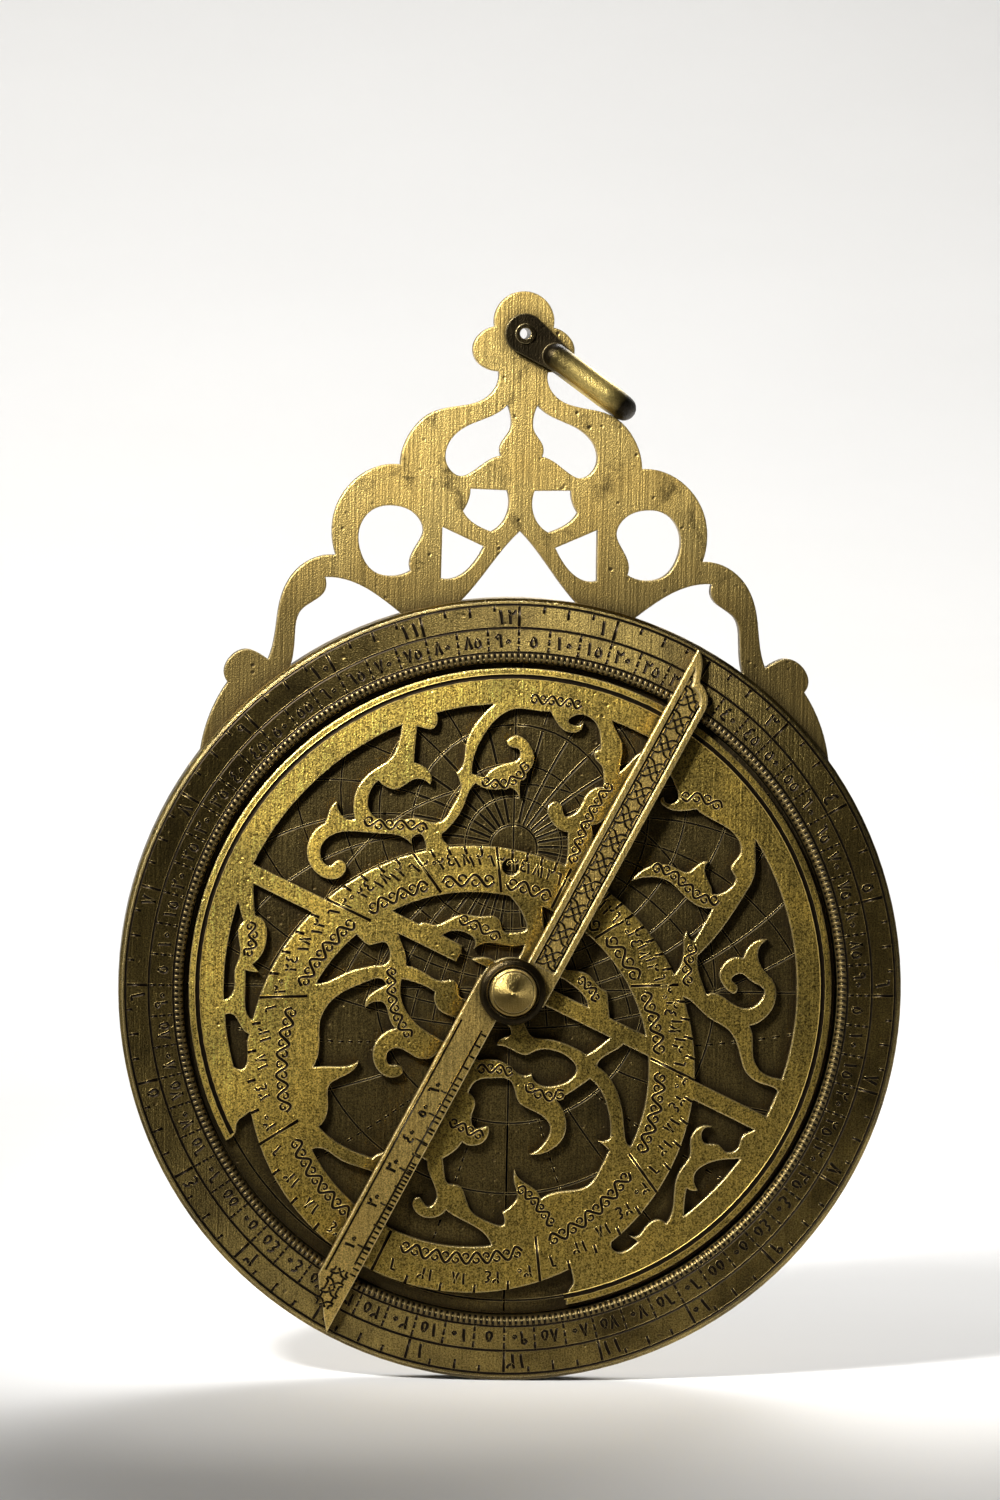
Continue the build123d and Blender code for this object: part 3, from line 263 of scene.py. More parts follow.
def brass(name, bright, dull, roughness=0.4, patches=90.0, streaks=0.25, pits=0.5, grime_and_shade=0.7,
          edge=0.22, shine=0.5, speckle=0.3, darken=None, spun=0.0, twist=0.0):
    """Brass with cloudy patina, upright streaks, pits, crevices darkened as dirt and painted shade, and
    edges coloured bright as wear and painted highlight. Where darken is given, its function returns a
    node's output that says how dark a place gets: painted shade and stains on the throne, painted shade on
    the star map, patina on the shackle. Spun metal shows the rings of the lathe: its highlights stretch
    outwards from the pin, turned by twist, which counts whole turns."""
    made, tree = new_material(name)
    place = node(tree, "TexCoord").outputs["Object"]
    cloud = noise(tree, place, patches, Detail=7.0, Roughness=0.62)
    tone = mix(tree, ramp(tree, cloud, 0.32, 0.62), dull, bright)
    stretched = node(tree, "Mapping", {"Vector": place, "Scale": (3200.0, 3200.0, 70.0)}).outputs[0]
    brushed = noise(tree, stretched, 1.0, Detail=3.0)
    streak = ramp(tree, brushed, 0.3, 0.7, 1.0 - streaks, 1.0 + streaks)
    grain = noise(tree, place, 4000.0, Detail=3.0, Roughness=0.7)
    grainy = ramp(tree, grain, 0.36, 0.60, 1.0 - speckle, 1.0 + speckle / 3)
    for amount in (streak, grainy):
        tone = node(tree, "VectorMath", {0: tone, "Scale": amount}, operation="SCALE").outputs[0]
    hollow = node(tree, "TexVoronoi", {"Vector": place, "Scale": 620.0, "Randomness": 1.0})
    deep = ramp(tree, hollow.outputs["Distance"], 0.10, 0.24, 1.0, 0.0)
    few = ramp(tree, noise(tree, place, 240.0, Detail=2.0), 0.52, 0.60)
    pit = both(tree, "MULTIPLY", deep, few)
    tone = mix(tree, both(tree, "MULTIPLY", pit, pits), tone, PIT_COLOUR)
    # Painted shade on the throne and the star map, and patina on the shackle, come in here through darken.
    if darken:
        tone = mix(tree, darken(tree, place, cloud), tone, PATINA_AND_SHADE_COLOUR)
    # Painted shade: ambient occlusion darkens hollows and the plate beside raised parts, partly as dirt
    # and partly standing in for the shadows there.
    cavity = node(tree, "AmbientOcclusion", {"Distance": 0.0022}, samples=6).outputs["AO"]
    tone = mix(tree, ramp(tree, cavity, 0.5, 1.0, grime_and_shade, 0.0), tone, DIRT_AND_SHADE_COLOUR)
    # Painted highlight: every edge found by the bevel is coloured bright, partly as wear and partly
    # standing in for edge highlights.
    soft = node(tree, "Bevel", {"Radius": edge * MM}, samples=4).outputs[0]
    flat = node(tree, "NewGeometry").outputs["True Normal"]
    same = vectors(tree, "DOT_PRODUCT", soft, flat, "Value")
    tone = mix(tree, ramp(tree, same, 0.97, 0.80, 0.0, shine), tone, RUBBED_AND_HIGHLIGHT_COLOUR)
    fine = noise(tree, place, 5200.0, Detail=2.0)
    height = both(tree, "SUBTRACT", both(tree, "ADD", fine, brushed), pit)
    bump = node(tree, "Bump", {"Height": height, "Normal": soft, "Strength": 0.5, "Distance": 0.00012})
    rough = ramp(tree, cloud, 0.3, 0.7, roughness + 0.08, roughness - 0.06)
    shader = node(tree, "BsdfPrincipled", {"Base Color": tone, "Metallic": 1.0, "Roughness": rough,
                                           "Normal": bump.outputs[0], "Anisotropic": spun,
                                           "Anisotropic Rotation": twist})
    if spun:
        level = vectors(tree, "MULTIPLY", vectors(tree, "ADD", place, TO_PIN), (1.0, 0.0, 1.0))
        outwards = node(tree, "VectorTransform", {0: level}, vector_type="VECTOR",
                        convert_from="OBJECT", convert_to="WORLD")
        radial = node(tree, "VectorMath", {0: outwards.outputs[0]}, operation="NORMALIZE")
        tree.links.new(radial.outputs[0], shader.inputs["Tangent"])
    node(tree, "OutputMaterial", {"Surface": shader.outputs[0]})
    return made


print("the brass recipe is ready")

# %% [markdown]
# Three pieces have a darkening of their own. The throne is painted darker towards its foot, as painted
# shade, and has a few stains; the shackle has a black patina at its ears and its far end; the star map is
# painted darker away from the upper left, also as painted shade. Each is a ramp over one measure of the
# place: a height, a distance from the rivet, and a distance from the pin along one direction, all in
# metres.


# %% Patina and painted shade of single pieces
def throne_patina(tree, place, cloud):
    """The throne is painted darker towards its foot, as painted shade, and has a few stains."""
    height = node(tree, "SeparateXYZ", {0: place}).outputs["Z"]
    # Painted shade: the colour darkens towards the foot.
    foot_shade = ramp(tree, height, -0.024, -0.043, 0.0, 0.68)
    blot = noise(tree, place, 150.0, Detail=6.0, Roughness=0.7, Distortion=0.6)
    return both(tree, "MAXIMUM", foot_shade, ramp(tree, blot, 0.53, 0.66, 0.0, 0.7))


def shackle_patina(tree, place, cloud):
    """The ears and the far end are black, and the middle of the bow is rubbed to brass."""
    reach = node(tree, "VectorMath", {0: place}, operation="LENGTH").outputs["Value"]
    ear = ramp(tree, reach, 0.0075, 0.0125, 1.0, 0.0)
    end = ramp(tree, reach, 0.0165, 0.0190)
    uneven = ramp(tree, cloud, 0.3, 0.7, -0.12, 0.2)
    return both(tree, "ADD", both(tree, "MAXIMUM", ear, end), uneven, clamp=True)


def rete_patina(tree, place, cloud):
    """The star map is painted darker away from the upper left, as painted shade where the lamp's highlight
    fades, with a little cloudy unevenness.
    """
    side = vectors(tree, "DOT_PRODUCT", vectors(tree, "ADD", place, TO_PIN), (-0.8, 0.0, 0.6), "Value")
    # Painted shade: darker the farther a place lies from the upper left.
    shaded_share = ramp(tree, side, 0.026, 0.008, 0.0, 0.52)
    return both(tree, "ADD", shaded_share, ramp(tree, cloud, 0.3, 0.7, -0.05, 0.08), clamp=True)


print("patinas:", throne_patina.__name__, shackle_patina.__name__, rete_patina.__name__)

# %% [markdown]
# Now each brass gets a bright and a dull colour, and its amounts of the rest. The limb and the turned
# pieces are spun, which gives them the bright and dark quarters of the photograph.

# %% Brasses and their nodes
throne_metal = brass("throne_brass", (0.58, 0.415, 0.13, 1), (0.34, 0.228, 0.062, 1), roughness=0.40,
                     patches=60.0, streaks=0.26, pits=0.95, edge=0.4, speckle=0.3, darken=throne_patina)
limb_metal = brass("limb_brass", (0.25, 0.18, 0.054, 1), (0.07, 0.05, 0.017, 1), roughness=0.36,
                   patches=110.0, streaks=0.18, speckle=0.7, edge=0.4, shine=0.7, spun=0.75, twist=0.16)
rete_metal = brass("rete_brass", (0.98, 0.70, 0.16, 1), (0.78, 0.53, 0.10, 1), roughness=0.34,
                   patches=80.0, streaks=0.22, pits=0.7, grime_and_shade=0.95, edge=0.45, shine=0.9, speckle=0.9,
                   darken=rete_patina)
tympan_metal = brass("tympan_brass", (0.15, 0.108, 0.036, 1), (0.04, 0.029, 0.011, 1), roughness=0.38,
                     patches=70.0, streaks=0.2, grime_and_shade=0.98, speckle=0.7)
rule_metal = brass("rule_brass", (0.72, 0.51, 0.15, 1), (0.46, 0.315, 0.088, 1), roughness=0.36,
                   patches=130.0, streaks=0.2, shine=0.95, edge=0.42, speckle=0.6)
mater_metal = brass("mater_brass", (0.36, 0.26, 0.09, 1), (0.17, 0.12, 0.042, 1), roughness=0.38,
                    patches=60.0)
turned_metal = brass("turned_brass", (0.48, 0.345, 0.11, 1), (0.30, 0.21, 0.065, 1), roughness=0.3,
                     streaks=0.05, pits=0.3, edge=0.15, speckle=0.15, spun=0.85, twist=0.89)
dark_metal = brass("dark_bronze", (0.055, 0.04, 0.018, 1), (0.02, 0.015, 0.008, 1), roughness=0.34,
                   streaks=0.05, edge=0.3, shine=0.6, spun=0.7)
shackle_metal = brass("shackle_bronze", (0.86, 0.66, 0.22, 1), (0.60, 0.44, 0.13, 1), roughness=0.40,
                      streaks=0.05, pits=0.3, edge=0.3, shine=0.3, darken=shackle_patina)

finish_of = {
    "throne": throne_metal, "limb": limb_metal, "rete": rete_metal, "rule": rule_metal,
    "alidade": rule_metal, "sight_vane_upper": rule_metal, "sight_vane_lower": rule_metal,
    "collar": dark_metal, "hollow_rivet": dark_metal, "shackle": shackle_metal,
    "nut": turned_metal, "centre_pin": turned_metal, "pin_washer": turned_metal,
    "rule_spacer": turned_metal, "tympan_front": tympan_metal, "tympan_middle": tympan_metal,
    "tympan_rear": tympan_metal,
}
for name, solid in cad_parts.items():
    solid.data.materials.clear()
    solid.data.materials.append(finish_of.get(name, mater_metal))
print(len(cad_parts), "nodes have their brass")

# %% [markdown]
# An engraved line has a floor, and the graver throws up a burr on both sides. The floor is coloured dark,
# as dirt and painted shade, and the burr bright, as rubbed metal and a painted highlight. The same profile
# is carried along every line of the instrument, so straight ticks, circles and numerals are all made by
# one function. It works on a whole stack of lines at once: the direction along each line comes from the
# neighbouring points, and the profile is laid out at right angles to it. The groove's points go round it,
# as shares of half its width and heights in millimetres, and a cap of three faces closes each end. Here
# and in all that follows, a number without a unit is in millimetres.

# %% Carry a profile along many lines at once
GROOVE = np.array([(-1.0, 0.0), (-0.8, 0.04), (-0.55, 0.008), (0.55, 0.008), (0.8, 0.04), (1.0, 0.0),
                   (0.4, -0.06), (-0.4, -0.06)])
CAP = np.array([(0, 1, 2, 7), (2, 3, 6, 7), (3, 4, 5, 6)])


def carry(runs, width, closed=False):
    """Lines as an array (line, point, 2) become closed strips. Each of the groove's points lies at the
    line's point plus its share of half the width along the normal, at the groove's height. Returns
    the points as (x, height, z), the faces, and how far across the strip each point lies."""
    runs = np.asarray(runs, float)
    if closed:
        ahead, behind = np.roll(runs, -1, axis=1), np.roll(runs, 1, axis=1)
    else:
        ahead = np.concatenate([runs[:, 1:], runs[:, -1:]], axis=1)
        behind = np.concatenate([runs[:, :1], runs[:, :-1]], axis=1)
    along = ahead - behind
    along /= np.maximum(np.linalg.norm(along, axis=2, keepdims=True), 1e-9)
    normal = np.stack([-along[..., 1], along[..., 0]], axis=2)
    across, height = GROOVE.T
    flat = runs[:, :, None, :] + normal[:, :, None, :] * (across * width / 2)[:, None]
    points = np.empty(flat.shape[:3] + (3,))
    points[..., 0] = flat[..., 0]
    points[..., 1] = height
    points[..., 2] = flat[..., 1]
    index = np.arange(points[..., 0].size).reshape(points.shape[:3])
    first = index if closed else index[:, :-1]
    second = np.roll(index, -1, axis=1) if closed else index[:, 1:]
    sides = np.stack([first, second, np.roll(second, -1, axis=2), np.roll(first, -1, axis=2)], axis=-1)
    faces = [sides.reshape(-1, 4)]
    if not closed:
        faces.append(index[:, 0][:, CAP].reshape(-1, 4))
        faces.append(index[:, -1][:, CAP[:, ::-1]].reshape(-1, 4))
    share = np.broadcast_to(across, points.shape[:3])
    return points.reshape(-1, 3), np.concatenate(faces), share.ravel()


print("a groove has", len(GROOVE), "points and a cap", len(CAP), "faces")

# %% [markdown]
# The strips of one plate are joined into one piece, laid on the plate's face, turned with it, and tied
# to the body that the plate belongs to.


# %% Engraving on a plate
def engraving(name, body, slot, material, parts, depth, turn=0.0, front=-1.0):
    """One piece from several carried parts. Its heights stand out from the plate's face, towards the
    front for -1 and the back for 1. The piece is turned clockwise, seen from the front, about the
    pin, and rides on a body. The sum of the corners' triple products is six times the volume: where
    it is negative, the faces look inwards and are turned round."""
    counts = np.cumsum([0] + [len(p[0]) for p in parts])
    points = np.concatenate([p[0] for p in parts])
    faces = np.concatenate([p[1] + start for p, start in zip(parts, counts)])
    share = np.concatenate([p[2] for p in parts])
    c, s = cos(radians(turn)), sin(radians(turn))
    placed = np.column_stack([points[:, 0] * c + points[:, 2] * s,
                              depth / MM + front * points[:, 1],
                              points[:, 2] * c - points[:, 0] * s - DISC_DROP])
    centred = placed[faces] - placed.mean(axis=0)
    volume = np.einsum("ij,ij->i", centred[:, 0], np.cross(centred[:, 1], centred[:, 2])).sum()
    volume += np.einsum("ij,ij->i", centred[:, 0], np.cross(centred[:, 2], centred[:, 3])).sum()
    if volume < 0:
        faces = faces[:, ::-1]
    made = surface(name, placed, faces, material)
    made.data.attributes.new("across", "FLOAT", "POINT").data.foreach_set("value", share)
    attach(made, body)
    print(name, len(faces), "faces")


print("helper:", engraving.__name__)

# %% [markdown]
# Every line starts as points on the flat plate, x to the right and z upwards. Lines of one kind are
# stacked in one array. Angles count clockwise from the top, as on a dial: x is the radius times the
# angle's sine and z the radius times its cosine.


# %% Lines, ticks and circles as stacks of points
def resample(run, count):
    """The same line with its points evenly spaced along it."""
    run = np.asarray(run, float)
    along = np.concatenate([[0], np.cumsum(np.linalg.norm(np.diff(run, axis=0), axis=1))])
    even = np.linspace(0, along[-1], count)
    return np.column_stack([np.interp(even, along, run[:, k]) for k in (0, 1)])


def polar(radius, clockwise):
    """Points at radii and at angles, in degrees clockwise from the top."""
    angle = np.radians(clockwise)
    return np.stack([radius * np.sin(angle), radius * np.cos(angle)], axis=-1)


def ticks(angles, inner, outer):
    """Straight radial ticks at angles clockwise from the top."""
    angles = np.asarray(angles, float)
    return np.stack([polar(inner, angles), polar(outer, angles)], axis=1)


def circle(radius, count=360):
    """A closed circle, as a stack of one line."""
    return polar(radius, np.linspace(0, 360, count, endpoint=False))[None]


def arc(radius, start, end, count=200):
    """An open arc between two angles clockwise from the top, as a stack of one line."""
    return polar(radius, np.linspace(start, end, count))[None]


print("a circle has", circle(1.0).shape[1], "points and an arc", arc(1.0, 0, 90).shape[1])

# %% [markdown]
# The numerals are plain ones in their eastern Arabic form, a few strokes each, in a box one unit high.

# %% Numerals
DIGITS = {
    0: [[(0.30, 0.30), (0.42, 0.42), (0.30, 0.54), (0.18, 0.42), (0.30, 0.30)]],
    1: [[(0.22, 1.0), (0.30, 0.5), (0.34, 0.0)]],
    2: [[(0.10, 1.0), (0.18, 0.5), (0.20, 0.0)], [(0.12, 0.86), (0.28, 0.70), (0.50, 0.78), (0.56, 1.0)]],
    3: [[(0.05, 1.0), (0.13, 0.5), (0.15, 0.0)],
        [(0.08, 0.88), (0.18, 0.72), (0.30, 0.88), (0.42, 0.72), (0.56, 0.80), (0.60, 1.0)]],
    4: [[(0.52, 0.98), (0.22, 0.88), (0.18, 0.64), (0.42, 0.54), (0.14, 0.42), (0.12, 0.12),
         (0.34, 0.0), (0.56, 0.06)]],
    5: [[(0.30, 0.80), (0.10, 0.45), (0.14, 0.12), (0.34, 0.06), (0.52, 0.2), (0.50, 0.5), (0.30, 0.80)]],
    6: [[(0.06, 0.92), (0.36, 0.94), (0.42, 0.5), (0.54, 0.0)]],
    7: [[(0.05, 1.0), (0.20, 0.55), (0.30, 0.0)], [(0.30, 0.0), (0.42, 0.55), (0.56, 1.0)]],
    8: [[(0.05, 0.0), (0.20, 0.45), (0.30, 1.0)], [(0.30, 1.0), (0.42, 0.45), (0.56, 0.0)]],
    9: [[(0.46, 0.72), (0.22, 0.62), (0.12, 0.80), (0.28, 1.0), (0.46, 0.92), (0.46, 0.5), (0.52, 0.0)]],
}
DIGIT_STEP = 0.72
DIGIT_GAP = 0.1
DIGIT_POINTS = 9


def number(value, size):
    """The strokes of a numeral, centred on its width, standing on the line z = 0."""
    text = str(value)
    half = (len(text) * DIGIT_STEP - DIGIT_GAP) / 2
    strokes = []
    for place, digit in enumerate(text):
        for stroke in DIGITS[int(digit)]:
            shifted = resample(stroke, DIGIT_POINTS) + (place * DIGIT_STEP - half, 0)
            strokes.append(shifted * size)
    return strokes


def bent(run, radius, clockwise):
    """Bends a flat line round a circle: x runs clockwise along it and z runs outwards."""
    return polar(radius + run[:, 1], clockwise + np.degrees(run[:, 0] / radius))


def ring_numbers(values, angles, radius, size):
    """Numerals round a circle with their tops outwards."""
    return np.array([bent(stroke, radius, angle)
                     for value, angle in zip(values, angles) for stroke in number(value, size)])


print(len(DIGITS), "numerals of", sum(map(len, DIGITS.values())), "strokes")

# %% [markdown]
# The floor of a cut line is almost black, partly with old dirt and partly as painted shade, and its burr
# is bright, partly rubbed and partly a painted highlight. The shader reads how far across the strip a
# point lies, which each piece carries as an attribute.


# %% Engraved line material
def cut_line(name, floor, burr_and_highlight, start=0.68, metal=0.95):
    """Dark in the middle of the strip, as dirt and painted shade, and bright from the share start of its
    half width outwards, as burr and painted highlight.
    """
    made, tree = new_material(name)
    across = node(tree, "Attribute", attribute_name="across").outputs["Fac"]
    size = node(tree, "Math", {0: across}, operation="ABSOLUTE").outputs[0]
    place = node(tree, "TexCoord").outputs["Object"]
    wobble = ramp(tree, noise(tree, place, 900.0, Detail=3.0), 0.3, 0.7, -0.07, 0.07)
    # Painted light: this share colours the middle of each strip dark and its edges bright, partly dirt and
    # burr and partly painted shade and highlight of the groove.
    light = ramp(tree, both(tree, "ADD", size, wobble), start, start + 0.12)
    bump = node(tree, "Bump", {"Height": size, "Strength": 0.6, "Distance": 0.0001})
    shader = node(tree, "BsdfPrincipled", {"Base Color": mix(tree, light, floor, burr_and_highlight), "Roughness": 0.42,
                                           "Metallic": metal, "Normal": bump.outputs[0]})
    node(tree, "OutputMaterial", {"Surface": shader.outputs[0]})
    return made


limb_cut = cut_line("limb_cut", (0.010, 0.007, 0.004, 1), (0.28, 0.205, 0.075, 1), start=0.74)
rete_cut = cut_line("rete_cut", (0.012, 0.008, 0.004, 1), (0.72, 0.53, 0.16, 1))
rule_cut = cut_line("rule_cut", (0.008, 0.006, 0.003, 1), (0.60, 0.43, 0.14, 1), start=0.84)
glint_cut = cut_line("glint_cut", (0.008, 0.006, 0.003, 1), (0.30, 0.225, 0.09, 1))
rib_cut = cut_line("rib_cut", (0.012, 0.009, 0.005, 1), (0.15, 0.108, 0.042, 1), start=0.5, metal=0.9)
print("line materials:", [m.name for m in bpy.data.materials if m.name.endswith("cut")])

# %% [markdown]
# The limb carries two scales: twenty-four hours with quarters, twelve at noon on top and twelve again
# at midnight, and degrees in boxes of five. Three turned circles bound them.

# %% Limb scales
limb_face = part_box("limb")[0].y
LIMB_CIRCLES = (59.0, 55.45, 51.7)
hours = np.arange(24) * 15.0
boxes = np.arange(1, 73) * 5.0
QUARTER_TICKS = ((3.75, 57.8), (7.5, 57.3), (11.25, 57.95))
BOX_DASHES = ((51.75, 52.7), (53.0, 53.95), (54.25, 55.4))
limb_parts = [carry(circle(r), width=0.48, closed=True) for r in LIMB_CIRCLES]
limb_parts.append(carry(ticks(hours, inner=55.5, outer=58.9), width=0.55))
for offset, inner in QUARTER_TICKS:
    limb_parts.append(carry(ticks(hours + offset, inner, outer=58.95), width=0.5))
hour_values = [(h + 11) % 12 + 1 for h in range(24)]
limb_parts.append(carry(ring_numbers(hour_values, hours - 1.9, radius=56.0, size=2.2), width=0.6))
for inner, outer in BOX_DASHES:
    limb_parts.append(carry(ticks(boxes, inner, outer), width=0.48))
quarter_values = np.tile(np.arange(5, 95, 5), 4)
limb_parts.append(carry(ring_numbers(quarter_values, boxes - 2.5, radius=52.5, size=2.0), width=0.56))
engraving("limb_scales", "mater", "limb_brass", limb_cut, limb_parts, limb_face)

# %% [markdown]
# Inside the scales runs a band of three hundred and sixty small ribs, one for each degree. It is one
# ring: a profile of a few points, turned through the full circle. Each point's height is its base plus
# its swing times a wave, the size of the sine of half the rib's phase, stretched and cut off flat
# below nothing and above one.

# %% Ribs
RIB_COUNT = 360
STEPS_PER_RIB = 12
rib_radius = np.array([51.62, 51.45, 50.95, 50.50, 50.22, 50.30, 51.0])
rib_base = np.array([0.0, 0.02, 0.02, -0.28, -0.56, -0.70, -0.40])
rib_swing = np.array([0.0, 0.12, 0.16, 0.2, 0.1, 0.0, 0.0])
rib_angle = np.arange(RIB_COUNT * STEPS_PER_RIB) * 360.0 / (RIB_COUNT * STEPS_PER_RIB)
WAVE_GAIN, WAVE_DROP = 2.6, 1.1
wave = np.abs(np.sin(np.radians(rib_angle * RIB_COUNT / 2)))
wave = np.clip(WAVE_GAIN * wave - WAVE_DROP, 0, 1)
ribs = np.empty((len(rib_angle), len(rib_radius), 3))
ribs[..., [0, 2]] = polar(rib_radius[None, :], rib_angle[:, None])
ribs[..., 1] = rib_base + rib_swing * wave[:, None]
index = np.arange(ribs[..., 0].size).reshape(ribs.shape[:2])
after = np.roll(index, -1, axis=0)
rib_faces = np.stack([index, after, np.roll(after, -1, axis=1), np.roll(index, -1, axis=1)], axis=-1)
rib_share = np.repeat(wave[:, None], len(rib_radius), axis=1)
# The rib_cut colour follows the wave: the gaps between ribs are coloured dark, partly as dirt and partly
# as painted shade.
engraving("limb_ribs", "mater", "limb_brass", rib_cut,
          [(ribs.reshape(-1, 3), rib_faces.reshape(-1, 4), rib_share.ravel())], limb_face)

# %% [markdown]
# The tympan is a map of the sky over one place, drawn by projecting the sphere from its south pole on
# to the equator's plane. In that projection every circle stays a circle, so the formulas give centres
# and radii: circles of equal height round the zenith, from the horizon upwards, and circles of azimuth
# through it. An azimuth circle passes through zenith and nadir, and its centre lies
# to the side by half their distance times the azimuth's tangent. The azimuths stop at the innermost
# height circle and are cut wider close round it, like rays.

# %% Sky circles
OBLIQUITY = 23.44
LATITUDE = 21.7
CAPRICORN = 48.0
EQUATOR = CAPRICORN * tan(radians(45 - OBLIQUITY / 2))
CANCER = EQUATOR * tan(radians(45 - OBLIQUITY / 2))
ZENITH = EQUATOR * tan(radians((90 - LATITUDE) / 2))
NADIR = -EQUATOR / tan(radians((90 - LATITUDE) / 2))
PLATE_EDGE = 49.6
HEIGHT_STEP = 9
LAST_HEIGHT = 81
RAY_HEIGHT = 54
AZIMUTH_STEP = 10
SKY_WIDTH = 0.44


def height_circle(height):
    """Centre and radius of the circle at one height over the horizon: the equator's radius times the
    cosine of the latitude, or of the height, over the sum of the sines of latitude and height."""
    below = sin(radians(LATITUDE)) + sin(radians(height))
    return EQUATOR * cos(radians(LATITUDE)) / below, EQUATOR * cos(radians(height)) / below


horizon_centre, horizon_radius = height_circle(0)
innermost_centre, innermost_radius = height_circle(LAST_HEIGHT)
KEPT_POINTS = 48
SHORTEST = 4


def kept(run, inside):
    """The stretches of a line where a condition holds, each with the same count of points."""
    edges = np.flatnonzero(np.diff(np.concatenate([[0], inside.astype(int), [0]])))
    return [resample(run[a:b], KEPT_POINTS)
            for a, b in zip(edges[::2], edges[1::2]) if b - a > SHORTEST]


def above_horizon(run):
    """True where a point is over the horizon and on the plate."""
    over = np.hypot(run[:, 0], run[:, 1] - horizon_centre) < horizon_radius
    return over & (np.hypot(*run.T) < PLATE_EDGE)


dense = np.linspace(0, 360, 1441)
sky = []
for height in range(0, LAST_HEIGHT + 1, HEIGHT_STEP):
    centre, radius = height_circle(height)
    run = polar(radius, dense) + (0, centre)
    sky += kept(run, np.hypot(*run.T) < PLATE_EDGE)
ray_centre, ray_radius = height_circle(RAY_HEIGHT)
rays = []
vertical_radius = (ZENITH - NADIR) / 2
vertical_centre = (ZENITH + NADIR) / 2
for azimuth in range(-80, 81, AZIMUTH_STEP):
    middle = (vertical_radius * tan(radians(azimuth)), vertical_centre)
    run = polar(vertical_radius / cos(radians(azimuth)), dense) + middle
    clear = np.hypot(run[:, 0], run[:, 1] - innermost_centre) > innermost_radius
    near = np.hypot(run[:, 0], run[:, 1] - ray_centre) < ray_radius
    sky += kept(run, above_horizon(run) & clear & ~near)
    rays += kept(run, clear & near)
reach = np.linspace(-PLATE_EDGE, PLATE_EDGE, 400)
upright = np.column_stack([np.zeros(len(reach)), reach])
sky += [resample(upright, KEPT_POINTS), resample(upright[:, ::-1], KEPT_POINTS)]
print(len(sky), "thin lines and", len(rays), "rays")

# %% [markdown]
# Below the horizon run the hours of the night. Each hour divides the part of the two tropics and of
# the equator that lies there, and a parabola through its three points draws it: the odd hours as
# dashes, the even ones as lines.


# %% Hours of the night
def night_point(radius, share):
    """A point on a circle round the pole, at a share of the way through its arc below the horizon.
    The arc's half angle has as cosine the drop of the two circles' common chord over the radius."""
    drop = (radius ** 2 + horizon_centre ** 2 - horizon_radius ** 2) / (2 * horizon_centre)
    half = np.degrees(np.arccos(np.clip(-drop / radius, -1, 1)))
    return polar(radius, 180 + half * (1 - 2 * share))


SUN_CIRCLES = (CANCER, EQUATOR, CAPRICORN)
dashes = []
for hour in range(1, 12):
    ends = np.array([night_point(r, hour / 12) for r in SUN_CIRCLES])
    fit = [np.polyfit((0.0, 0.5, 1.0), ends[:, k], 2) for k in (0, 1)]
    share = np.linspace(0, 1, 33)
    run = np.column_stack([np.polyval(f, share) for f in fit])
    if hour % 2:
        dashes += [run[k:k + 2] for k in range(0, 32, 2)]
    else:
        sky.append(resample(run, KEPT_POINTS))
tympan_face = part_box("tympan_front")[0].y
sky_parts = [carry(sky, SKY_WIDTH), carry(dashes, SKY_WIDTH), carry(rays, width=0.6)]
sky_parts += [carry(circle(r), SKY_WIDTH, closed=True) for r in SUN_CIRCLES]
engraving("tympan_sky", "mater", "tympan_brass", glint_cut, sky_parts, tympan_face)

# %% [markdown]
# On the rete, one groove runs round the outer ring as the Tropic of Capricorn. The ecliptic ring is
# divided along the sun's yearly path: a longitude becomes a right ascension and a declination, and
# those two give the tick's angle and radius.

# %% Rete lines
rete_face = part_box("rete")[0].y
RETE_TURN = 25.3
RING_DROP = (CAPRICORN - CANCER) / 2
RING_OUTER = (CAPRICORN + CANCER) / 2
RING_WIDTH = 7.05
RING_INNER = RING_OUTER - RING_WIDTH
SMALL_TICK = 1.3
NUMERAL_FOOT = 3.05
CAPRICORN_ENDS = (-143.5, 143.8)


def sun_place(longitude):
    """Clockwise angle on the rete of an ecliptic longitude, and its distance from the pin. The right
    ascension has the longitude's sine times the cosine of the obliquity over its cosine as tangent,
    and the declination has their sines' product as sine."""
    across = np.sin(np.radians(longitude)) * cos(radians(OBLIQUITY))
    ascension = np.degrees(np.arctan2(across, np.cos(np.radians(longitude))))
    declination = np.degrees(np.arcsin(np.sin(np.radians(longitude)) * sin(radians(OBLIQUITY))))
    return 90 - ascension, EQUATOR * np.tan(np.radians(45 - declination / 2))


def ring_distance(clockwise, radius):
    """How far from the pin a ray at an angle meets a circle round the ecliptic ring's centre. By the
    cosine rule it is the centre's rise along the ray plus the root of its square plus the radius's
    square less the drop's."""
    rise = np.cos(np.radians(clockwise)) * -RING_DROP
    return rise + np.sqrt(rise ** 2 + radius ** 2 - RING_DROP ** 2)


small = np.arange(0, 360, 6.0)
small = small[small % 30 != 0]
small_angle, _ = sun_place(small)
sign_angle, _ = sun_place(np.arange(0, 360, 30.0))


def ring_ticks(angles, outer, inner):
    """Ticks that point at the pin, between two circles round the ecliptic ring's centre."""
    far, near = ring_distance(angles, outer), ring_distance(angles, inner)
    return np.stack([polar(near, angles), polar(far, angles)], axis=1)


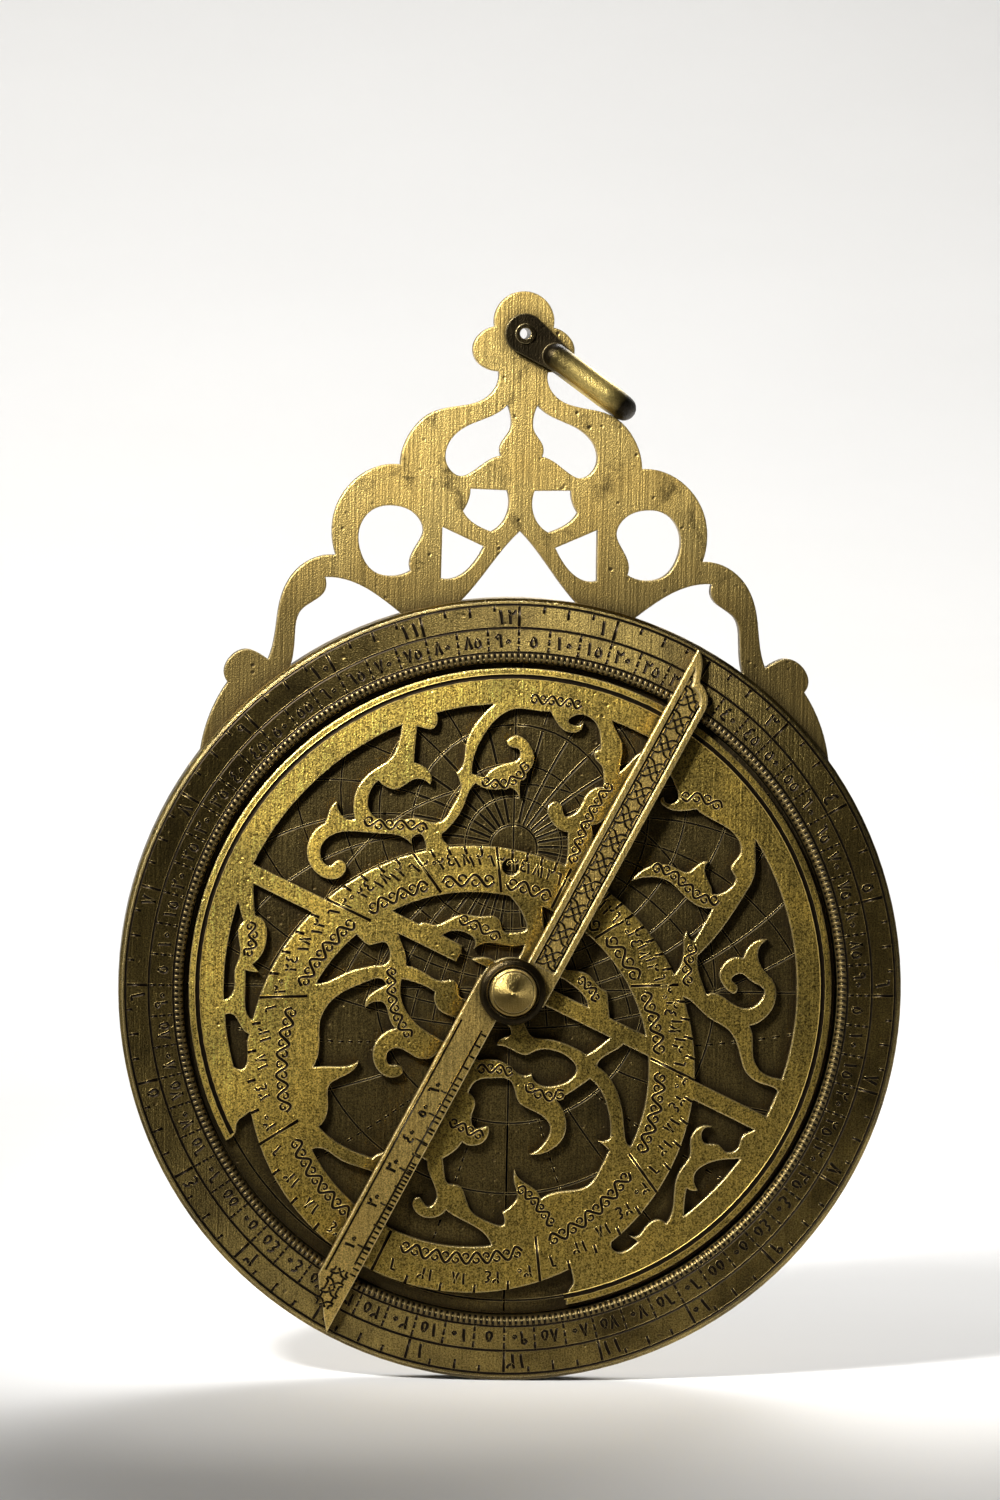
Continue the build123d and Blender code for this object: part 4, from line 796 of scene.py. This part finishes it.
rete_parts = [
    carry(arc(CAPRICORN, *CAPRICORN_ENDS), width=0.95),
    carry(ring_ticks(small_angle, RING_OUTER, RING_OUTER - SMALL_TICK), width=0.62),
    carry(ring_ticks(sign_angle, RING_OUTER, RING_INNER + 0.3), width=0.62),
]
numeral_angle, _ = sun_place(np.arange(3, 360, 6.0))
numeral_radius = ring_distance(numeral_angle, RING_OUTER - NUMERAL_FOOT)
for value, angle, radius in zip(np.tile([6, 12, 18, 24, 30], 12), numeral_angle, numeral_radius):
    strokes = [bent(stroke, radius, angle) for stroke in number(value, size=1.75)]
    rete_parts.append(carry(strokes, width=0.56))
print(len(rete_parts), "parts on the rete so far")

# %% [markdown]
# Between the numerals and the ring's inner edge runs a band of ornament: a waving stem with a curled
# leaf in each of its hollows. The same stem fills small panels on the scrolls. It is drawn flat, then
# bent along a path: a point's x is a distance along the path, and its z a distance to the side.


# %% Ornament along a path
LEAF_RADIUS = 0.19
LEAF_SHRINK = 0.7
LEAF_SINK = 0.3
LEAF_TURN = 1.6 * pi


def along_path(path, flat_run):
    """Bends a flat line along a path, x measured along it and z to its left."""
    path = resample(path, 120)
    length = np.linalg.norm(np.diff(path, axis=0), axis=1).sum()
    even = np.linspace(0, length, len(path))
    along = np.gradient(path, axis=0)
    along /= np.linalg.norm(along, axis=1, keepdims=True)
    x = np.clip(flat_run[:, 0], 0, length)
    spot = np.column_stack([np.interp(x, even, path[:, k]) for k in (0, 1)])
    ahead = np.column_stack([np.interp(x, even, along[:, k]) for k in (0, 1)])
    return spot + np.column_stack([-ahead[:, 1], ahead[:, 0]]) * flat_run[:, 1:]


def vine(path, pitch, reach, first=1):
    """A stem that waves along a path, and a leaf in each hollow: one stack of a single line, and one
    stack of leaves. The stem's height is the reach times the sine of its way along, one wave to a step.
    A leaf is a spiral whose radius shrinks evenly while it curls through 288 degrees."""
    length = np.linalg.norm(np.diff(np.asarray(path, float), axis=0), axis=1).sum()
    count = max(round(length / pitch), 1)
    step = length / count
    x = np.linspace(0, length, 20 * count + 1)
    stem = along_path(path, np.column_stack([x, first * reach * np.sin(2 * pi * x / step)]))
    share = np.linspace(0, 1, 13)
    curl = pi + LEAF_TURN * share
    spiral = (1 - LEAF_SHRINK * share) * LEAF_RADIUS * step
    leaves = []
    for hollow in range(2 * count):
        side = first * (-1) ** hollow
        middle = (hollow + 0.5) * step / 2
        leaf = np.column_stack([middle + spiral * np.cos(curl),
                                side * (spiral * np.sin(curl) - LEAF_SINK * reach)])
        leaves.append(along_path(path, leaf))
    return stem[None], np.array(leaves)


def smooth(path, count=60):
    """A smooth path through a few points: a polynomial of each coordinate over the path's length."""
    path = np.asarray(path, float)
    along = np.concatenate([[0], np.cumsum(np.linalg.norm(np.diff(path, axis=0), axis=1))])
    order = min(len(path) - 1, 3)
    even = np.linspace(0, along[-1], count)
    return np.column_stack([np.polyval(np.polyfit(along, path[:, k], order), even) for k in (0, 1)])


print("helpers:", along_path.__name__, vine.__name__, smooth.__name__)

# %% [markdown]
# One length of the stem goes into each twelfth of the ecliptic ring, and one into each panel. A panel
# is given by a few points of its path, read on the plate before it is turned.

# %% Ornament on the rete
VINE_RISE = 1.75
for sign, start in enumerate(sign_angle):
    end = sign_angle[(sign + 1) % 12]
    sweep_angle = (start - end) % 360
    angles = start - np.linspace(0.1, 0.9, 60) * sweep_angle
    path = polar(ring_distance(angles, RING_INNER + VINE_RISE), angles)
    stem, leaves = vine(path, pitch=3.4, reach=0.85, first=1 - 2 * (sign % 2))
    rete_parts += [carry(stem, width=0.62), carry(leaves, width=0.52)]

PANELS = [
    [(-17.2, 41.3), (-15.0, 42.1), (-12.8, 42.9), (-9.7, 43.8)],
    [(10.3, 37.9), (12.0, 38.9), (14.0, 39.4), (16.6, 39.3)],
    [(-0.3, 35.0), (-0.9, 32.0), (-1.0, 28.5), (-0.9, 25.5), (-0.2, 21.5)],
    [(-18.3, 26.8), (-16.0, 27.3), (-14.2, 28.6), (-13.4, 30.3), (-13.6, 32.2)],
    [(11.2, 26.3), (13.0, 26.9), (16.0, 26.5), (19.0, 25.7), (22.6, 26.4)],
    [(-31.8, 13.5), (-29.0, 13.9), (-27.0, 14.9), (-24.5, 16.0), (-22.5, 16.3)],
    [(-40.5, -8.4), (-39.2, -9.8), (-38.6, -11.8), (-38.9, -13.3)],
    [(-12.0, 6.2), (-9.0, 6.5), (-5.0, 6.3)],
    [(8.6, 6.0), (10.6, 5.7), (12.6, 4.2)],
    [(-17.9, -5.0), (-16.5, -8.0), (-14.2, -11.0), (-10.5, -13.2)],
    [(0.8, -13.2), (3.0, -12.0), (6.0, -11.3)],
    [(8.6, -12.0), (10.5, -12.4), (12.6, -12.1), (14.2, -10.3)],
    [(14.6, -26.8), (17.5, -27.4), (20.0, -28.6), (22.0, -29.6)],
    [(0.6, -22.2), (3.5, -22.2), (6.2, -22.0)],
    [(22.2, 18.6), (22.4, 16.5), (23.0, 14.5), (24.3, 12.6)],
]
for place, path in enumerate(PANELS):
    stem, leaves = vine(smooth(path), pitch=2.9, reach=0.66, first=1 - 2 * (place % 2))
    rete_parts += [carry(stem, width=0.56), carry(leaves, width=0.48)]
engraving("rete_lines", "rete", "rete_brass", rete_cut, rete_parts, rete_face, RETE_TURN)

# %% [markdown]
# The rule's upper arm has a sunk field with a lattice of stars, a common pattern on such instruments.
# A quarter of one cell is drawn, a point's first number along the arm and its second across it. Four
# mirrored quarters make the cell, which is repeated along the arm with a short thick link between.

# %% Rule lattice
RULE_TURN = 27.4
RULE_WIDTH = 5.4
RULE_BORDER = 1.05
FIELD_DEPTH = 0.25
FIELD_CENTRE = RULE_WIDTH / 2
FIELD_HALF = 1.72
FIELD_START = 5.5
FIELD_TIP = 56.6
TIP_CORNERS = (FIELD_CENTRE - FIELD_HALF, 1.9, 3.3, FIELD_CENTRE + FIELD_HALF)
TIP_HEIGHTS = (FIELD_TIP, FIELD_TIP - 2.6, FIELD_TIP - 3.4, FIELD_TIP - 5.0)
STAR_STEP = 4.09
FIRST_STAR = 5.15
LINK_ENDS = (0.42, 1.13)
CELL_HALF = 1.98
rule_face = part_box("rule")[0].y
QUARTER = [
    [(0.0, 1.30), (0.58, 1.30)],
    [(0.58, 1.30), (0.60, 1.10), (0.73, 0.58), (1.30, 0.0), (1.95, -0.62)],
    [(0.50, 1.30), (0.70, 1.98)],
    [(0.90, 1.98), (1.25, 1.30), (2.045, 1.30)],
]
MIRRORS = [(1, 1), (1, -1), (-1, 1), (-1, -1)]
cell = np.array([(resample(line, 33) * mirror)[:, ::-1] * (FIELD_HALF / CELL_HALF, 1)
                 for line in QUARTER for mirror in MIRRORS])
bars = np.array([resample([(side * end, STAR_STEP / 2) for end in LINK_ENDS], 33) for side in (1, -1)])
star_places = FIRST_STAR + np.arange(13) * STAR_STEP


def in_field(run):
    """True where a point lies in the sunk field, which ends in a slanted tip."""
    slope = np.interp(run[:, 0], TIP_CORNERS, TIP_HEIGHTS)
    return (run[:, 1] > FIELD_START) & (run[:, 1] < slope)


lattice, links = [], []
for height in star_places:
    for lines, found in ((cell, lattice), (bars, links)):
        for line in lines + (FIELD_CENTRE, height):
            found += kept(line, in_field(line))
edge_lines = [[(x, FIELD_START), (x, FIELD_TIP - 4.6)] for x in (RULE_BORDER, RULE_WIDTH - RULE_BORDER)]
lattice_parts = [carry(np.array(lattice)[:, ::3], width=0.38), carry(np.array(links)[:, ::12], width=0.6),
                 carry(edge_lines, width=0.46)]
engraving("rule_lattice", "rule", "rule_brass", rule_cut, lattice_parts, rule_face + FIELD_DEPTH * MM,
          RULE_TURN)

# %% [markdown]
# The lower arm has a ladder of ticks between two long lines, with numerals at the longest ticks, and
# two stars of the lattice at its tip. The ladder's steps grow evenly outwards.

# %% Rule scale
ladder = -np.array([30.4 + k * 0.55 + k * k * 0.009 for k in range(26)])
long_marks = -np.array([18.5, 22.4, 26.8, 31.9, 38.0, 45.3])
middle_marks = -np.array([16.7, 20.4, 24.5, 29.1, 34.7, 41.4])
upper_ladder = -np.arange(8.0, 30.0, 1.9)


def rungs(heights, start, end):
    """Level ticks at heights along the rule, from one distance to another from its straight edge."""
    return [[(start, height), (end, height)] for height in heights]


TICK_START = -0.15
LADDER_END = -1.2
scale_lines = [rungs(ladder, TICK_START, LADDER_END), rungs(upper_ladder, TICK_START, LADDER_END),
               rungs(long_marks, TICK_START, -2.3), rungs(middle_marks, TICK_START, -1.6),
               [[(LADDER_END, -7.5), (LADDER_END, -48.2)], [(-4.75, -7.5), (-4.75, -51.0)]]]
scale_parts = [carry(lines, width=0.36) for lines in scale_lines]
for k, height in enumerate(long_marks):
    strokes = [np.column_stack([-2.5 - stroke[:, 1], stroke[:, 0] + height])
               for stroke in number(60 - 10 * k, size=1.6)]
    scale_parts.append(carry(strokes, width=0.5))
end_stars = np.concatenate([cell[:, ::4] * (-0.85, 0.8) + (-FIELD_CENTRE + 0.1, height)
                            for height in (-51.3, -54.6)])
scale_parts.append(carry(end_stars, width=0.4))
engraving("rule_scale", "rule", "rule_brass", rule_cut, scale_parts, rule_face, RULE_TURN)

# %% [markdown]
# The back has the scales that such an instrument usually has there: degrees of height round the edge,
# a table of sines at the upper left, unequal hours at the upper right, and two shadow scales below the
# middle. An hour's line is a circle through the middle, whose radius is half the field's over the sine
# of fifteen degrees times the hour. All is drawn as seen from behind, then turned over.

# %% Back scales
def turned_over(part):
    """The same strips with left and right exchanged, for a face that looks to the back."""
    return part[0] * (-1, 1, 1), part[1], part[2]


BACK_CIRCLES = (59.0, 57.3, 54.4, 53.6)
BACK_FIELD = BACK_CIRCLES[-1]
SHADOW = 33.0
SHADOW_BAND = 3.2
back_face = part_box("back_plate")[1].y
degrees = np.arange(360.0)
back_parts = [carry(circle(r), width=0.4, closed=True) for r in BACK_CIRCLES]
back_parts.append(carry(ticks(degrees, inner=57.4, outer=58.9), width=0.26))
back_parts.append(carry(ticks(degrees[::5], inner=54.5, outer=57.3), width=0.34))
labels = np.array([(value, quarter * 90 + (90 - value if quarter % 2 else value))
                   for quarter in range(4) for value in range(10, 90, 10)])
back_parts.append(carry(ring_numbers(labels[:, 0], labels[:, 1] - 1.9, radius=54.9, size=1.8), width=0.42))
sines = np.arange(3.0, 53.0, 3.0)
reach = np.sqrt(BACK_FIELD ** 2 - sines ** 2)
back_parts.append(carry([[(-r, h), (0, h)] for h, r in zip(sines, reach)], width=0.3))
back_parts.append(carry([[(-h, 0), (-h, r)] for h, r in zip(sines[4::5], reach[4::5])], width=0.3))
back_parts.append(carry([[(-BACK_FIELD, 0), (BACK_FIELD, 0)], [(0, -BACK_FIELD), (0, BACK_FIELD)]],
                        width=0.4))
for hour in range(1, 7):
    noon = BACK_FIELD / (2 * sin(radians(15 * hour)))
    bow = polar(noon, np.linspace(0, 180, 361)) * (1, -1) + (0, noon)
    inside = (np.hypot(*bow.T) < BACK_FIELD) & (bow[:, 0] > 0)
    back_parts.append(carry([resample(bow[inside], 60)], width=0.34))
marks = np.arange(1, 13) * SHADOW / 12
for side in (-1, 1):
    box = [[(side * w, 0), (side * w, -w)] for w in (SHADOW, SHADOW - SHADOW_BAND)]
    box += [[(0, -w), (side * w, -w)] for w in (SHADOW, SHADOW - SHADOW_BAND)]
    box += [[(side * m, -SHADOW), (side * m, -SHADOW + SHADOW_BAND)] for m in marks]
    box += [[(side * SHADOW, -m), (side * (SHADOW - SHADOW_BAND), -m)] for m in marks]
    back_parts.append(carry(box, width=0.34))
    figures = [stroke + (side * (m - SHADOW / 24), -SHADOW + 0.8)
               for value, m in enumerate(marks, 1) for stroke in number(value, size=1.5)]
    back_parts.append(carry(figures, width=0.36))
engraving("back_scales", "mater", "mater_brass", limb_cut, [turned_over(p) for p in back_parts],
          back_face, front=1.0)

# %% [markdown]
# The alidade has a line along each edge and along its middle, with steps of two millimetres, as far
# as the sight vanes.

# %% Alidade lines
ALIDADE_TURN = -40.0
HUB_EDGE = 8.0
LINE_SIDE = 2.8
alidade_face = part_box("alidade")[1].y
edge_runs = [[(x, side * HUB_EDGE), (x, side * 48.0)] for x in (-LINE_SIDE, LINE_SIDE) for side in (-1, 1)]
centre_runs = [[(0, side * HUB_EDGE), (0, side * 38.2)] for side in (-1, 1)]
steps = [[(x, side * h), (x * 0.55, side * h)] for x in (-LINE_SIDE, LINE_SIDE) for side in (-1, 1)
         for h in np.arange(10.0, 38.0, 2.0)]
alidade_parts = [carry(edge_runs + centre_runs, width=0.4), carry(steps, width=0.34)]
engraving("alidade_lines", "alidade", "rule_brass", rule_cut, alidade_parts, alidade_face, ALIDADE_TURN,
          front=1.0)
